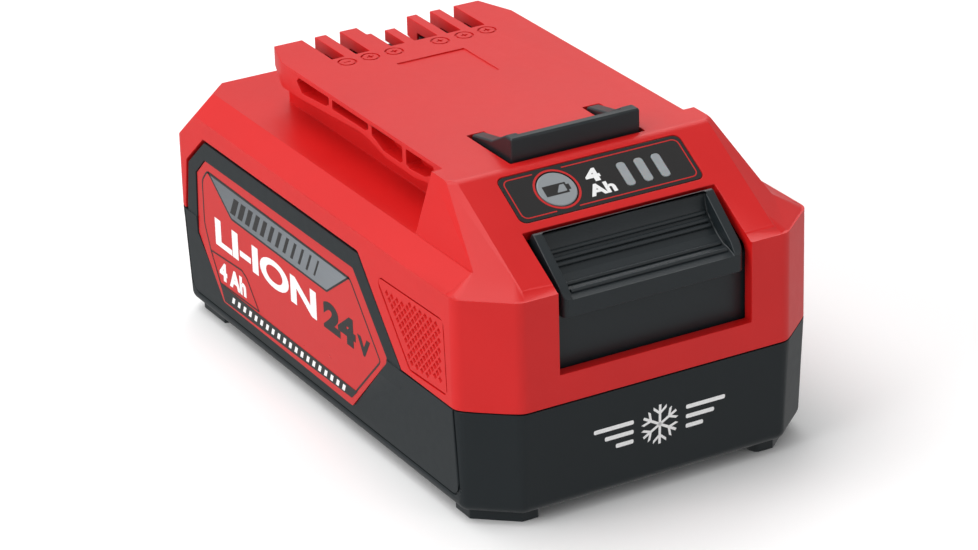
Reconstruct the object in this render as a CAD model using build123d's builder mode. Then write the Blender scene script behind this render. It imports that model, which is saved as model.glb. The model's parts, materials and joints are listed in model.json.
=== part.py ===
"""Slide-on rechargeable lithium-ion battery pack for an ice auger.

Millimetres, +Z up. The origin is under the middle of the pack, on the plane of its
feet. The end with the release button faces -Y, and the pack slides onto its tool
with that end last, its rear slots first.
"""

import os
from math import atan2, copysign, cos, radians, sin, tan

from build123d import *

# ---------------------------------------------------------------- driving dimensions
WIDTH = 80.0
LENGTH = 131.0
FOOT_HEIGHT = 2.2
SPLIT_Z = 24.4
SHOULDER_Z = 47.8
DECK_Z = 50.9
TOP_Z = 62.9
LATCH_TOP_Z = 67.5
WALL = 2.4
SEAM = 0.25

# Corners cut off the plan outline: across the width, along the length.
FRONT_CUT = (9.9, 8.4)
REAR_CUT = (4.0, 4.0)
CORNER_R = 3.6
SHOULDER_RUN = 5.9
CASE_DRAFT = 1.0
BOTTOM_EDGE_R = 2.4

# The sloping bezel, measured back from the front face.
RIDGE_DEPTH = 26.2
BEZEL_ANGLE = 30.3
TOWER_REAR_DEPTH = 33.4
TOWER_HALF_TOP = 29.9
TOWER_HALF_FOOT = 34.0

# The neck and the flanges that the tool's rails grip.
NECK_HALF = 22.6
NECK_REAR_DEPTH = 108.0
FLANGE_HALF = 27.5
FLANGE_REAR_HALF = 24.5
FLANGE_CUT_DEPTH = 101.0
FLANGE_REAR_DEPTH = 110.1
SLOT_FRONT_DEPTH = 96.7
SLOTS = ((-16.45, 2.9), (-10.7, 3.2), (-2.4, 3.2), (4.3, 5.4), (11.0, 3.2), (16.75, 3.3))
POLE_MARKS = (-16.0, -10.6, -5.0, 5.9, 11.7, 17.2)

# The release button, its window and the latch.
WINDOW_HALF = 21.7
WINDOW_BOTTOM_Z = 30.8
WINDOW_TOP_DEPTH = 13.2
BUTTON_HALF = 20.3
BUTTON_BOTTOM_Z = 41.9
SKIRT_HALF = 23.4
LATCH_HALF = 14.6
LATCH_DEPTH = 28.9
LATCH_TRAVEL = 5.5

# The charge gauge on the bezel: along the slope, down from the ridge.
GAUGE_SIZE = (41.2, 11.3)
GAUGE_DOWN = 7.3
GAUGE_BUTTON_X = -9.8
GAUGE_BUTTON_R = 4.1
GAUGE_BARS_X = (5.5, 9.5, 13.45)

# Cells: six in a row, two layers, lying across the pack.
CELL_R = 9.2
CELL_LENGTH = 65.2
CELL_PITCH = 18.6
CELL_LAYER = 18.8
CELL_COUNT = 6
FIRST_CELL_DEPTH = 24.8
LOWER_CELL_Z = 14.3

SCREW_R = 1.2
BOSS_R = 2.7

FRONT_Y = -LENGTH / 2
CELL_END = CELL_LENGTH / 2
UPPER_CELL_Z = LOWER_CELL_Z + CELL_LAYER
CELL_TOP_Z = UPPER_CELL_Z + CELL_R
HOLDER_END = CELL_END + 0.65
BOARD_Z = 43.4
BOARD_THICKNESS = 1.6
BOARD_TOP_Z = BOARD_Z + BOARD_THICKNESS
CASE_SCREWS = ((-32.6, 10.4), (32.6, 10.4))
BOARD_SCREWS = ((-30.0, 46.0), (30.0, 46.0), (-30.0, 106.0), (30.0, 106.0))
SPRING_X = 14.0
SPRING_DEPTH = 8.6
SPRING_R = 2.6
SPRING_FOOT_Z = 8.0
SPRING_TOP_Z = 25.0

# Two hooks on the lower casing hold the cover down at the rear.
REAR_HOOKS = (-19.0, 19.0)
HOOK_Z = 31.0

os.makedirs("parts", exist_ok=True)


# ---------------------------------------------------------------- helpers
def at_depth(depth):
    """Y coordinate of a point that lies this far behind the front face."""
    return FRONT_Y + depth


def keep(builder, label):
    """Label a finished piece and write it to its own STEP file."""
    builder.part.label = label
    export_step(builder.part, f"parts/{label}.step")


def side_points(points):
    """Turn (depth, height) pairs into the coordinates of a Plane.YZ sketch."""
    return [(at_depth(depth), height) for depth, height in points]


def pack_plan(height, inset):
    """Plan outline of the pack at one height, moved inwards by inset."""
    half = WIDTH / 2
    front_x, front_y = FRONT_CUT
    rear_x, rear_y = REAR_CUT
    right = [
        (half - front_x, at_depth(0)),
        (half, at_depth(front_y)),
        (half, at_depth(LENGTH - rear_y)),
        (half - rear_x, at_depth(LENGTH)),
    ]
    left = [(-x, y) for x, y in reversed(right)]
    with BuildSketch(Plane.XY.offset(height)) as plan:
        Polygon(*right, *left, align=None)
        if inset > 0:
            offset(amount=-inset, kind=Kind.INTERSECTION)
        fillet(plan.vertices(), max(CORNER_R - inset, 0.5))
    return plan.sketch


def side_prism(points, half_width, inset=0.0, bend=None, centre=0.0):
    """Solid with a (depth, height) outline, stretched evenly to both sides."""
    with BuildPart() as prism:
        with BuildSketch(Plane.YZ.offset(centre)) as outline:
            Polygon(*side_points(points), align=None)
            if inset > 0:
                offset(amount=-inset, kind=Kind.INTERSECTION)
            if bend:
                corner, radius = bend
                target = Vector(at_depth(corner[0]), corner[1])
                fillet(outline.vertices().sort_by_distance(target)[0], radius)
        extrude(amount=half_width, both=True)
    return prism.part


def on_side(piece, side):
    """The piece itself on the +X side, or its mirror image on the -X side."""
    return piece if side > 0 else mirror(piece, Plane.YZ, mode=Mode.PRIVATE)


def outward(x, length):
    """Range from x to a point this much further from the pack's middle."""
    return (x, x + copysign(length, x))


def plan_box(x_range, depth_range, z_range):
    """Box given by its ranges across the width, behind the front face and in height."""
    (x0, x1), (d0, d1), (z0, z1) = x_range, depth_range, z_range
    with BuildPart() as block:
        with Locations(((x0 + x1) / 2, at_depth((d0 + d1) / 2), (z0 + z1) / 2)):
            Box(abs(x1 - x0), abs(d1 - d0), abs(z1 - z0))
    return block.part


def upright(x, depth, radius, z_range):
    """Upright round post."""
    z0, z1 = z_range
    with BuildPart() as post:
        with BuildSketch(Plane.XY.offset(z0)):
            with Locations((x, at_depth(depth))):
                Circle(radius)
        extrude(amount=z1 - z0)
    return post.part


def bezel_z(depth):
    """Height of the bezel's surface at this depth."""
    return TOP_Z - (RIDGE_DEPTH - depth) * tan(radians(BEZEL_ANGLE))


bezel_plane = Plane(
    origin=(0, at_depth(RIDGE_DEPTH), TOP_Z),
    x_dir=(1, 0, 0),
    z_dir=(0, -sin(radians(BEZEL_ANGLE)), cos(radians(BEZEL_ANGLE))),
)


# ---------------------------------------------------------------- outer forms
def corner_plane(side, inset):
    """Plane of the facet between the bezel and one side of the tower."""
    ridge = Vector(side * 28.4, at_depth(RIDGE_DEPTH), TOP_Z)
    bend = Vector(side * 28.2, at_depth(0), bezel_z(0))
    shoulder = Vector(side * TOWER_HALF_TOP, at_depth(RIDGE_DEPTH + 1.4), TOP_Z)
    normal = (bend - ridge).cross(shoulder - ridge).normalized()
    if normal.Z < 0:
        normal = normal * -1
    return Plane(origin=ridge - normal * inset, z_dir=normal)


def rear_corner_plane(side, inset):
    """Plane that bevels the rear upper corner of the shoulder."""
    low = Vector(side * WIDTH / 2, at_depth(LENGTH - REAR_CUT[1] + 1.5), 39.5)
    high = Vector(side * WIDTH / 2, at_depth(118.4), SHOULDER_Z)
    deck = Vector(side * 31.5, at_depth(123.4), DECK_Z)
    normal = (high - low).cross(deck - low).normalized()
    if normal.Z < 0:
        normal = normal * -1
    return Plane(origin=high - normal * inset, z_dir=normal)


def tower_form(inset):
    """Front block that carries the bezel: a side profile cut to a front profile."""
    base = SPLIT_Z - 10
    profile = [
        (0, base),
        (0, bezel_z(0)),
        (RIDGE_DEPTH, TOP_Z),
        (TOWER_REAR_DEPTH, TOP_Z),
        (TOWER_REAR_DEPTH, base),
    ]
    half = WIDTH / 2
    front_right = [
        (half, base),
        (half, SHOULDER_Z),
        (TOWER_HALF_FOOT, DECK_Z - 0.6),
        (TOWER_HALF_TOP, TOP_Z),
    ]
    front_left = [(-x, z) for x, z in reversed(front_right)]
    bend_radius = 5.5 - inset
    bend_at = (inset, bezel_z(0) - inset * 0.55)
    with BuildPart() as tower:
        add(side_prism(profile, half, inset, (bend_at, bend_radius)))
        with BuildSketch(Plane.XZ) as front:
            Polygon(*front_right, *front_left, align=None)
            if inset > 0:
                offset(amount=-inset, kind=Kind.INTERSECTION)
        extrude(amount=LENGTH, both=True, mode=Mode.INTERSECT)
        extrude(pack_plan(base, inset), amount=60, mode=Mode.INTERSECT)
        for side in (-1, 1):
            split(bisect_by=corner_plane(side, inset), keep=Keep.BOTTOM)
    return tower.part


def body_form():
    """Main block up to the deck, with its bevelled shoulders."""
    lip = 0.45
    with BuildPart() as body:
        extrude(pack_plan(SPLIT_Z, 0), amount=SHOULDER_Z - SPLIT_Z)
        loft(
            sections=[pack_plan(SHOULDER_Z, lip), pack_plan(DECK_Z, SHOULDER_RUN)],
            ruled=True,
        )
        for side in (-1, 1):
            split(bisect_by=rear_corner_plane(side, 0), keep=Keep.BOTTOM)
    return body.part


def body_void():
    """Hollow of the main block, in two steps under the shoulders."""
    with BuildPart() as void:
        extrude(pack_plan(SPLIT_Z - 1, WALL), amount=SHOULDER_Z - WALL - SPLIT_Z + 1)
        half = TOWER_HALF_FOOT - WALL
        add(plan_box((-half, half), (8.0, LENGTH - 10.0), (SHOULDER_Z - 4, DECK_Z - WALL)))
        for side in (-1, 1):
            split(bisect_by=rear_corner_plane(side, WALL), keep=Keep.BOTTOM)
    return void.part


# ---------------------------------------------------------------- lower casing
PANEL_DEPTHS = (9.2, 126.0)
PANEL_BOTTOM_Z = 5.0
PANEL_GROOVE = 0.35
LIP_LAP = 6.0
LIP_RISE = 1.8
LIP_PLAY = 0.2
LIP_WALL = 0.8
TONGUE = (
    (30.5, 24.4),
    (39.6, 34.8),
    (46.6, 43.1),
    (114.5, 43.1),
    (122.8, 36.0),
    (124.4, 25.8),
    (124.4, 20.0),
    (30.5, 20.0),
)
LABEL = (
    (49.0, 39.1),
    (115.0, 38.9),
    (119.4, 34.8),
    (120.2, 20.6),
    (109.6, 8.1),
    (51.9, 7.5),
    (35.6, 24.1),
)
LABEL_RECESS = 0.6


def tongue_prism(grow, x_range):
    """Raised side part of the lower casing, on the +X side."""
    x0, x1 = x_range
    with BuildPart() as prism:
        with BuildSketch(Plane.YZ.offset(x0)) as outline:
            Polygon(*side_points(TONGUE), align=None)
            if grow:
                offset(amount=grow, kind=Kind.INTERSECTION)
            fillet(outline.vertices().group_by(Axis.Y)[-1], 1.2)
        extrude(amount=x1 - x0)
    return prism.part


def label_prism(x_range, shrink=0.0):
    """Seven-sided outline of the side label, on the +X side."""
    x0, x1 = x_range
    with BuildPart() as prism:
        with BuildSketch(Plane.YZ.offset(x0)) as outline:
            Polygon(*side_points(LABEL), align=None)
            if shrink:
                offset(amount=-shrink, kind=Kind.INTERSECTION)
            fillet(outline.vertices(), 0.8)
        extrude(amount=x1 - x0)
    return prism.part


half_width = WIDTH / 2
inner_half = half_width - WALL


def panel_groove():
    """Narrow groove round the flat panel of the lower casing, on the +X side."""
    lean = atan2(CASE_DRAFT, SPLIT_Z - FOOT_HEIGHT)
    side_plane = Plane(
        origin=(half_width, 0, SPLIT_Z),
        x_dir=(0, 1, 0),
        z_dir=(cos(lean), 0, -sin(lean)),
    )
    length = PANEL_DEPTHS[1] - PANEL_DEPTHS[0]
    low = PANEL_BOTTOM_Z - SPLIT_Z
    high = 30.0
    with BuildPart() as groove:
        with BuildSketch(side_plane.offset(-PANEL_GROOVE)):
            with Locations((at_depth(sum(PANEL_DEPTHS) / 2), (low + high) / 2)):
                RectangleRounded(length, high - low, 3.2)
                RectangleRounded(length - 0.9, high - low - 0.9, 2.8, mode=Mode.SUBTRACT)
        extrude(amount=1.5)
    return groove.part


with BuildPart() as side_tongue:
    add(tongue_prism(0, (inner_half, half_width - 0.15)))
    add(tongue_prism(2.0, (inner_half - 1.4, inner_half - 0.2)))
    add(tongue_prism(-0.4, (inner_half - 0.6, inner_half + 0.4)))

with BuildPart() as label_pocket:
    add(label_prism((half_width - 0.15 - LABEL_RECESS, half_width + 1)))

with BuildPart() as lower_casing:
    loft(sections=[pack_plan(FOOT_HEIGHT, CASE_DRAFT), pack_plan(SPLIT_Z, 0)], ruled=True)
    fillet(lower_casing.faces().sort_by(Axis.Z)[0].edges(), BOTTOM_EDGE_R)
    with BuildSketch(Plane.XY) as foot_plan:
        for side in (-1, 1):
            with Locations((side * 31.0, at_depth(9.4)), (side * 31.8, at_depth(LENGTH - 8.6))):
                RectangleRounded(13.5, 13.5, 3.0)
        add(pack_plan(0, CASE_DRAFT + 2.2), mode=Mode.INTERSECT)
    extrude(foot_plan.sketch, amount=FOOT_HEIGHT + 1.0)
    loft(
        sections=[
            pack_plan(FOOT_HEIGHT + WALL, CASE_DRAFT + WALL),
            pack_plan(SPLIT_Z, WALL),
        ],
        ruled=True,
        mode=Mode.SUBTRACT,
    )
    lip_foot = SPLIT_Z - LIP_LAP
    extrude(pack_plan(lip_foot, WALL / 2), amount=LIP_LAP)
    extrude(pack_plan(SPLIT_Z, WALL + LIP_PLAY), amount=LIP_RISE)
    lip_bore = pack_plan(lip_foot, WALL + LIP_PLAY + LIP_WALL)
    extrude(lip_bore, amount=LIP_LAP + LIP_RISE, mode=Mode.SUBTRACT)
    skirt_way = plan_box((-25.5, 25.5), (WALL + 0.45, 8.0), (lip_foot, SPLIT_Z + 5))
    add(skirt_way, mode=Mode.SUBTRACT)
    for x in REAR_HOOKS:
        hook_depths = (LENGTH - WALL - 1.1, LENGTH - WALL - 0.2)
        add(plan_box((x - 5, x + 5), hook_depths, (lip_foot, HOOK_Z)))
        barb_root = LENGTH - WALL - 0.3
        barb_tip = LENGTH - WALL + 0.8
        barb = ((barb_root, HOOK_Z - 2), (barb_tip, HOOK_Z - 2), (barb_root, HOOK_Z))
        add(side_prism(barb, 5.0, centre=x))
    for side in (-1, 1):
        add(on_side(panel_groove(), side), mode=Mode.SUBTRACT)
        add(on_side(side_tongue.part, side))
        add(on_side(label_pocket.part, side), mode=Mode.SUBTRACT)
    for x, depth in CASE_SCREWS:
        add(upright(x, depth, BOSS_R + 0.4, (SPLIT_Z - 2, TOP_Z)), mode=Mode.SUBTRACT)
        add(upright(x, depth, BOSS_R, (FOOT_HEIGHT, SPLIT_Z)))
        rib_depths = (depth - 0.6, depth + 0.6)
        add(plan_box(outward(x, 4.8), rib_depths, (FOOT_HEIGHT + 1, SPLIT_Z - 8)))
        add(upright(x, depth, SCREW_R + 0.2, (-1, SPLIT_Z + 4)), mode=Mode.SUBTRACT)
        add(upright(x, depth, SCREW_R + 1.3, (-1, 12.0)), mode=Mode.SUBTRACT)
    for side in (-1, 1):
        add(upright(side * SPRING_X, SPRING_DEPTH, SPRING_R + 1.0, (FOOT_HEIGHT + 1, SPRING_FOOT_Z)))
        add(upright(side * SPRING_X, SPRING_DEPTH, SPRING_R - 0.85, (SPRING_FOOT_Z, 13.0)))
keep(lower_casing, "lower_casing")


# ---------------------------------------------------------------- upper casing
FLANGE_SIDE = (
    (31.0, 63.5),
    (31.0, 57.6),
    (40.5, 57.6),
    (44.6, 56.9),
    (56.5, 57.1),
    (60.0, 57.8),
    (64.0, 58.7),
    (67.5, 59.0),
    (75.6, 58.5),
    (93.1, 57.4),
    (103.0, 57.4),
    (110.1, 58.6),
    (110.1, 63.5),
)
RAIL_POCKETS = (
    ((94.4, 60.9), (93.2, 61.9), (80.3, 61.9), (80.3, 60.4), (81.6, 59.7), (92.0, 58.9)),
    ((78.8, 61.9), (63.6, 61.9), (63.6, 60.7), (65.0, 60.1), (68.0, 60.1), (78.8, 59.9)),
    ((62.1, 61.9), (49.6, 61.9), (49.6, 58.7), (50.4, 58.2), (57.4, 58.3), (62.1, 60.0)),
    ((48.0, 61.9), (36.6, 61.9), (38.2, 59.6), (40.6, 58.7), (46.6, 58.2), (48.0, 58.6)),
)
POCKET_DEEP = 3.4
GRIP_PATCH = ((39.6, 41.6), (12.3, 42.2), (11.5, 26.4), (26.4, 25.9))
GRIP_RECESS = 0.7
SEAM_GAP = 0.7


def neck_form(inset):
    """Neck between the shoulders, up to the underside of the top plate."""
    half = NECK_HALF - inset
    rear = NECK_REAR_DEPTH - inset
    return plan_box((-half, half), (29.0, rear), (DECK_Z - 6, TOP_Z - inset))


def flange(side):
    """One overhanging flange with its rear corner cut off."""
    with BuildPart() as rail:
        with BuildSketch(Plane.YZ) as outline:
            Polygon(*side_points(FLANGE_SIDE), align=None)
        extrude(amount=side * (FLANGE_HALF + 2))
        with BuildSketch(Plane.XY.offset(DECK_Z)) as plan:
            Polygon(
                (0, at_depth(28)),
                (side * FLANGE_HALF, at_depth(28)),
                (side * FLANGE_HALF, at_depth(FLANGE_CUT_DEPTH)),
                (side * FLANGE_REAR_HALF, at_depth(FLANGE_REAR_DEPTH)),
                (0, at_depth(FLANGE_REAR_DEPTH)),
                align=None,
            )
        extrude(plan.sketch, amount=TOP_Z - DECK_Z, mode=Mode.INTERSECT)
        for pocket in RAIL_POCKETS:
            with BuildSketch(Plane.YZ.offset(side * (FLANGE_HALF - POCKET_DEEP))) as opening:
                Polygon(*side_points(pocket), align=None)
                fillet(opening.vertices(), 0.35)
            extrude(opening.sketch, amount=side * (POCKET_DEEP + 1), mode=Mode.SUBTRACT)
    return rail.part


def latch_slot():
    """U-shaped hole in the top plate that the latch bar rises through."""
    gap = 0.7
    arm = LATCH_HALF + gap
    with BuildPart() as slot:
        add(plan_box((-arm, arm), (LATCH_DEPTH - gap, LATCH_DEPTH + 3.2), (55, TOP_Z + 1)))
        for side in (-1, 1):
            x_range = (side * (arm - 4.0), side * arm)
            add(plan_box(x_range, (LATCH_DEPTH, 45.4), (55, TOP_Z + 1)))
    return slot.part


def mark_ring(x):
    """Shallow ring moulded beside each contact slot, with a plus, minus or dot."""
    with BuildPart() as mark:
        with BuildSketch(Plane.XY.offset(TOP_Z - 0.3)):
            with Locations((x, at_depth(93.6))):
                Circle(2.05)
                Circle(1.6, mode=Mode.SUBTRACT)
                Rectangle(1.7, 0.4)
                if x != POLE_MARKS[0]:
                    Rectangle(0.4, 1.7)
        extrude(amount=1)
    return mark.part


def gauge_pocket(grow, deep):
    """Rounded recess for the gauge label, sunk into the bezel."""
    with BuildPart() as recess:
        with BuildSketch(bezel_plane.offset(-deep)) as outline:
            with Locations((0, -GAUGE_DOWN)):
                RectangleRounded(GAUGE_SIZE[0] + grow, GAUGE_SIZE[1] + grow, 1.6)
        extrude(amount=deep + 1)
    return recess.part


def bezel_disc(x, down, radius, heights):
    """Round boss or hole square to the bezel, between two heights above it."""
    low, high = heights
    with BuildPart() as disc:
        with BuildSketch(bezel_plane.offset(low)) as outline:
            with Locations((x, -down)):
                Circle(radius)
        extrude(amount=high - low)
    return disc.part


def bezel_block(x, down, size, heights, corner=0.0):
    """Rectangular piece square to the bezel, between two heights above it."""
    low, high = heights
    with BuildPart() as block:
        with BuildSketch(bezel_plane.offset(low)) as outline:
            with Locations((x, -down)):
                if corner:
                    RectangleRounded(size[0], size[1], corner)
                else:
                    Rectangle(size[0], size[1])
        extrude(amount=high - low)
    return block.part


BAR_SIZE = (2.0, 5.9)
GAUGE_BUTTON_DOWN = 7.15
BARS_DOWN = 7.6
GAUGE_POSTS = ((-12.8, 12.1), (1.0, 12.1))
GAUGE_POST_R = 1.45

with BuildPart() as window_cut:
    opening = [
        (-2.0, WINDOW_BOTTOM_Z),
        (10.0, WINDOW_BOTTOM_Z),
        (10.0, 45.0),
        (WINDOW_TOP_DEPTH + 2.0, 51.0),
        (WINDOW_TOP_DEPTH, bezel_z(WINDOW_TOP_DEPTH)),
        (WINDOW_TOP_DEPTH - 3.0, bezel_z(WINDOW_TOP_DEPTH) + 6.0),
        (-2.0, 62.0),
    ]
    add(side_prism(opening, WINDOW_HALF))

with BuildPart() as grip_pocket:
    with BuildSketch(Plane.YZ.offset(half_width - GRIP_RECESS)) as patch:
        Polygon(*side_points(GRIP_PATCH), align=None)
        fillet(patch.vertices(), 1.5)
    extrude(amount=GRIP_RECESS + 1)

with BuildPart() as upper_casing:
    add(body_form())
    add(tower_form(0))
    add(neck_form(0))
    for side in (-1, 1):
        add(flange(side))
    add(body_void(), mode=Mode.SUBTRACT)
    add(tower_form(WALL), mode=Mode.SUBTRACT)
    add(neck_form(WALL), mode=Mode.SUBTRACT)
    split(bisect_by=Plane.XY.offset(SPLIT_Z + SEAM), keep=Keep.TOP)
    for x, depth in CASE_SCREWS:
        add(upright(x, depth, BOSS_R, (SPLIT_Z + SEAM, 42.0)))
        add(plan_box(outward(x, 5.2), (depth - 0.6, depth + 0.6), (SPLIT_Z + 3, 41.0)))
        add(upright(x, depth, SCREW_R, (SPLIT_Z - 1, 38.0)), mode=Mode.SUBTRACT)
    for x in REAR_HOOKS:
        catch_depths = (LENGTH - WALL - 1, LENGTH - WALL + 1.1)
        catch = plan_box((x - 5.4, x + 5.4), catch_depths, (HOOK_Z - 2.3, HOOK_Z + 0.4))
        add(catch, mode=Mode.SUBTRACT)
    for side in (-1, 1):
        guide_x = side * (SKIRT_HALF + 1.1)
        add(plan_box((guide_x - 0.8, guide_x + 0.8), (1.0, 6.0), (SPLIT_Z + 3, 45.0)))
        seam = tongue_prism(SEAM_GAP, (inner_half - 1, half_width + 1))
        add(on_side(seam, side), mode=Mode.SUBTRACT)
        add(on_side(grip_pocket.part, side), mode=Mode.SUBTRACT)
    add(window_cut.part, mode=Mode.SUBTRACT)
    add(latch_slot(), mode=Mode.SUBTRACT)
    for x, width in SLOTS:
        slot_x = (x - width / 2, x + width / 2)
        add(plan_box(slot_x, (SLOT_FRONT_DEPTH, 120.0), (52.6, TOP_Z + 1)), mode=Mode.SUBTRACT)
    short_fingers = plan_box((-5.0, 1.6), (105.5, 120.0), (DECK_Z + 0.1, TOP_Z + 1))
    add(short_fingers, mode=Mode.SUBTRACT)
    for x in POLE_MARKS:
        add(mark_ring(x), mode=Mode.SUBTRACT)
    add(plan_box((-8.0, 8.0), (72.5, 87.2), (TOP_Z - 0.25, TOP_Z + 1)), mode=Mode.SUBTRACT)
    add(gauge_pocket(0.3, 0.5), mode=Mode.SUBTRACT)
    button_at = (GAUGE_BUTTON_X, GAUGE_BUTTON_DOWN)
    add(bezel_disc(*button_at, GAUGE_BUTTON_R + 0.25, (-1.7, 1)), mode=Mode.SUBTRACT)
    add(bezel_disc(*button_at, 1.9, (-6, 1)), mode=Mode.SUBTRACT)
    for x in GAUGE_BARS_X:
        bar_hole = bezel_block(x, BARS_DOWN, (BAR_SIZE[0] + 0.3, BAR_SIZE[1] + 0.3), (-6, 1))
        add(bar_hole, mode=Mode.SUBTRACT)
    for post in GAUGE_POSTS:
        add(bezel_disc(*post, GAUGE_POST_R, (-4.8, -1.0)))
        add(bezel_disc(*post, 0.7, (-4.9, -1.8)), mode=Mode.SUBTRACT)
keep(upper_casing, "upper_casing")


# ---------------------------------------------------------------- release button and latch
RIM = (
    (0.6, BUTTON_BOTTOM_Z),
    (0.6, 45.6),
    (2.2, 47.8),
    (11.4, 55.2),
    (12.2, 55.2),
    (13.0, 54.0),
    (13.0, 45.5),
    (5.2, BUTTON_BOTTOM_Z),
)
SCOOP = (
    (-1.0, 45.5),
    (0.8, 45.5),
    (2.8, 46.3),
    (4.8, 46.7),
    (7.0, 47.9),
    (9.0, 49.7),
    (10.6, 51.3),
    (11.3, 53.4),
    (11.6, 62.0),
    (-1.0, 62.0),
)
BUTTON_RIBS = ((10.5, 51.2), (9.3, 50.1), (8.4, 49.3), (4.8, 46.8), (2.6, 46.3))
CHEEK = 2.0

with BuildPart() as release_button:
    add(side_prism(RIM, BUTTON_HALF))
    fillet(release_button.edges().filter_by(Axis.Z).group_by(Axis.Y)[0], 1.2)
    add(side_prism(SCOOP, BUTTON_HALF - CHEEK), mode=Mode.SUBTRACT)
    for depth, height in BUTTON_RIBS:
        with BuildSketch(Plane.YZ) as rib:
            with Locations((at_depth(depth), height)):
                Circle(0.5)
        extrude(rib.sketch, amount=BUTTON_HALF - CHEEK - 0.6, both=True)
    hollow = ((2.6, 40.0), (2.6, 43.4), (6.2, 44.6), (8.8, 47.0), (11.2, 49.4), (11.2, 40.0))
    add(side_prism(hollow, BUTTON_HALF - CHEEK), mode=Mode.SUBTRACT)
    add(plan_box((-SKIRT_HALF, SKIRT_HALF), (3.2, 4.8), (22.0, 44.5)))
    add(plan_box((-BUTTON_HALF, BUTTON_HALF), (4.4, 13.0), (41.2, 42.6)))
    for side in (-1, 1):
        x_range = (side * (SPRING_X - 4.4), side * (SPRING_X + 4.4))
        add(plan_box(x_range, (4.6, 12.4), (SPRING_TOP_Z, SPRING_TOP_Z + 1.8)))
        add(upright(side * SPRING_X, SPRING_DEPTH, SPRING_R - 0.85, (20.5, SPRING_TOP_Z + 0.5)))
        for x in (side * (SPRING_X - 3.6), side * (SPRING_X + 3.6)):
            brace = ((4.6, SPRING_TOP_Z + 1), (11.6, SPRING_TOP_Z + 1), (4.6, 37.0))
            with BuildSketch(Plane.YZ.offset(x - 0.8)) as web:
                Polygon(*side_points(brace), align=None)
            extrude(web.sketch, amount=1.6)
keep(release_button, "release_button")

ARM_X = (15.0, 18.6)
ARM_Z = (49.0, 51.6)
HOOK = (
    (LATCH_DEPTH, 56.5),
    (LATCH_DEPTH, LATCH_TOP_Z - 0.4),
    (LATCH_DEPTH + 0.4, LATCH_TOP_Z),
    (LATCH_DEPTH + 1.8, LATCH_TOP_Z),
    (LATCH_DEPTH + 2.4, LATCH_TOP_Z - 0.6),
    (LATCH_DEPTH + 2.4, 56.5),
)
ARM_END = (
    (LATCH_DEPTH, 51.0),
    (LATCH_DEPTH, LATCH_TOP_Z - 0.4),
    (LATCH_DEPTH + 0.4, LATCH_TOP_Z),
    (LATCH_DEPTH + 2.6, LATCH_TOP_Z),
    (LATCH_DEPTH + 8.0, 64.6),
    (44.6, 63.2),
    (44.6, 60.6),
    (LATCH_DEPTH + 5.0, 57.5),
    (LATCH_DEPTH + 3.2, 51.0),
)

with BuildPart() as latch_frame:
    add(side_prism(HOOK, LATCH_HALF))
    for side in (-1, 1):
        with BuildSketch(Plane.YZ.offset(side * (LATCH_HALF - 2.9))) as end:
            Polygon(*side_points(ARM_END), align=None)
        extrude(end.sketch, amount=side * 2.9)
        x_range = (side * ARM_X[0], side * ARM_X[1])
        add(plan_box(x_range, (13.0, LATCH_DEPTH + 3.2), ARM_Z))
        add(plan_box((side * 11.7, side * ARM_X[1]), (LATCH_DEPTH, LATCH_DEPTH + 3.2), (49.0, 53.0)))
    add(plan_box((-ARM_X[1], ARM_X[1]), (13.0, 14.8), (43.6, ARM_Z[1])))
    cross_holes = plan_box((-9.5, 9.5), (12.0, 16.0), (45.6, 49.4))
    add(cross_holes, mode=Mode.SUBTRACT)
keep(latch_frame, "latch_frame")


def coil_spring(label, side):
    """Compression spring between the casing's post and the button's ledge."""
    wire = 0.3
    height = SPRING_TOP_Z - SPRING_FOOT_Z - 2 * wire - 0.1
    with BuildPart() as spring:
        with BuildLine(Plane.XY.offset(SPRING_FOOT_Z + wire + 0.05)) as path:
            Helix(pitch=height / 8, height=height, radius=SPRING_R - wire)
        with BuildSketch(Plane(origin=path.line @ 0, z_dir=path.line % 0)):
            Circle(wire)
        sweep(is_frenet=True)
    with BuildPart() as placed:
        with Locations((side * SPRING_X, at_depth(SPRING_DEPTH), 0)):
            add(spring.part)
    keep(placed, label)


coil_spring("latch_spring_left", -1)
coil_spring("latch_spring_right", 1)

# ---------------------------------------------------------------- charge gauge
BUTTON_AT = (GAUGE_BUTTON_X, GAUGE_BUTTON_DOWN)

with BuildPart() as gauge_label:
    with BuildSketch(bezel_plane.offset(-0.48)) as film:
        with Locations((0, -GAUGE_DOWN)):
            RectangleRounded(GAUGE_SIZE[0], GAUGE_SIZE[1], 1.5)
    extrude(amount=0.4)
    add(bezel_disc(*BUTTON_AT, GAUGE_BUTTON_R + 0.2, (-3, 1)), mode=Mode.SUBTRACT)
    for x in GAUGE_BARS_X:
        clear = (BAR_SIZE[0] + 0.2, BAR_SIZE[1] + 0.2)
        add(bezel_block(x, BARS_DOWN, clear, (-3, 1), 0.9), mode=Mode.SUBTRACT)
keep(gauge_label, "gauge_label")

with BuildPart() as gauge_button:
    add(bezel_disc(*BUTTON_AT, GAUGE_BUTTON_R, (-0.95, 0.0)))
    add(bezel_disc(*BUTTON_AT, 1.5, (-3.35, -0.9)))
    fillet(gauge_button.edges().filter_by(GeomType.CIRCLE).sort_by(Axis.Z)[-1], 0.25)
keep(gauge_button, "gauge_button")

with BuildPart() as gauge_light_pipe:
    for x in GAUGE_BARS_X:
        add(bezel_block(x, BARS_DOWN, BAR_SIZE, (-4.0, 0.0), 0.8))
    across = GAUGE_BARS_X[-1] - GAUGE_BARS_X[0] + 2.4
    add(bezel_block(GAUGE_BARS_X[1], BARS_DOWN, (across, 3.0), (-3.7, -2.7)))
keep(gauge_light_pipe, "gauge_light_pipe")

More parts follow.
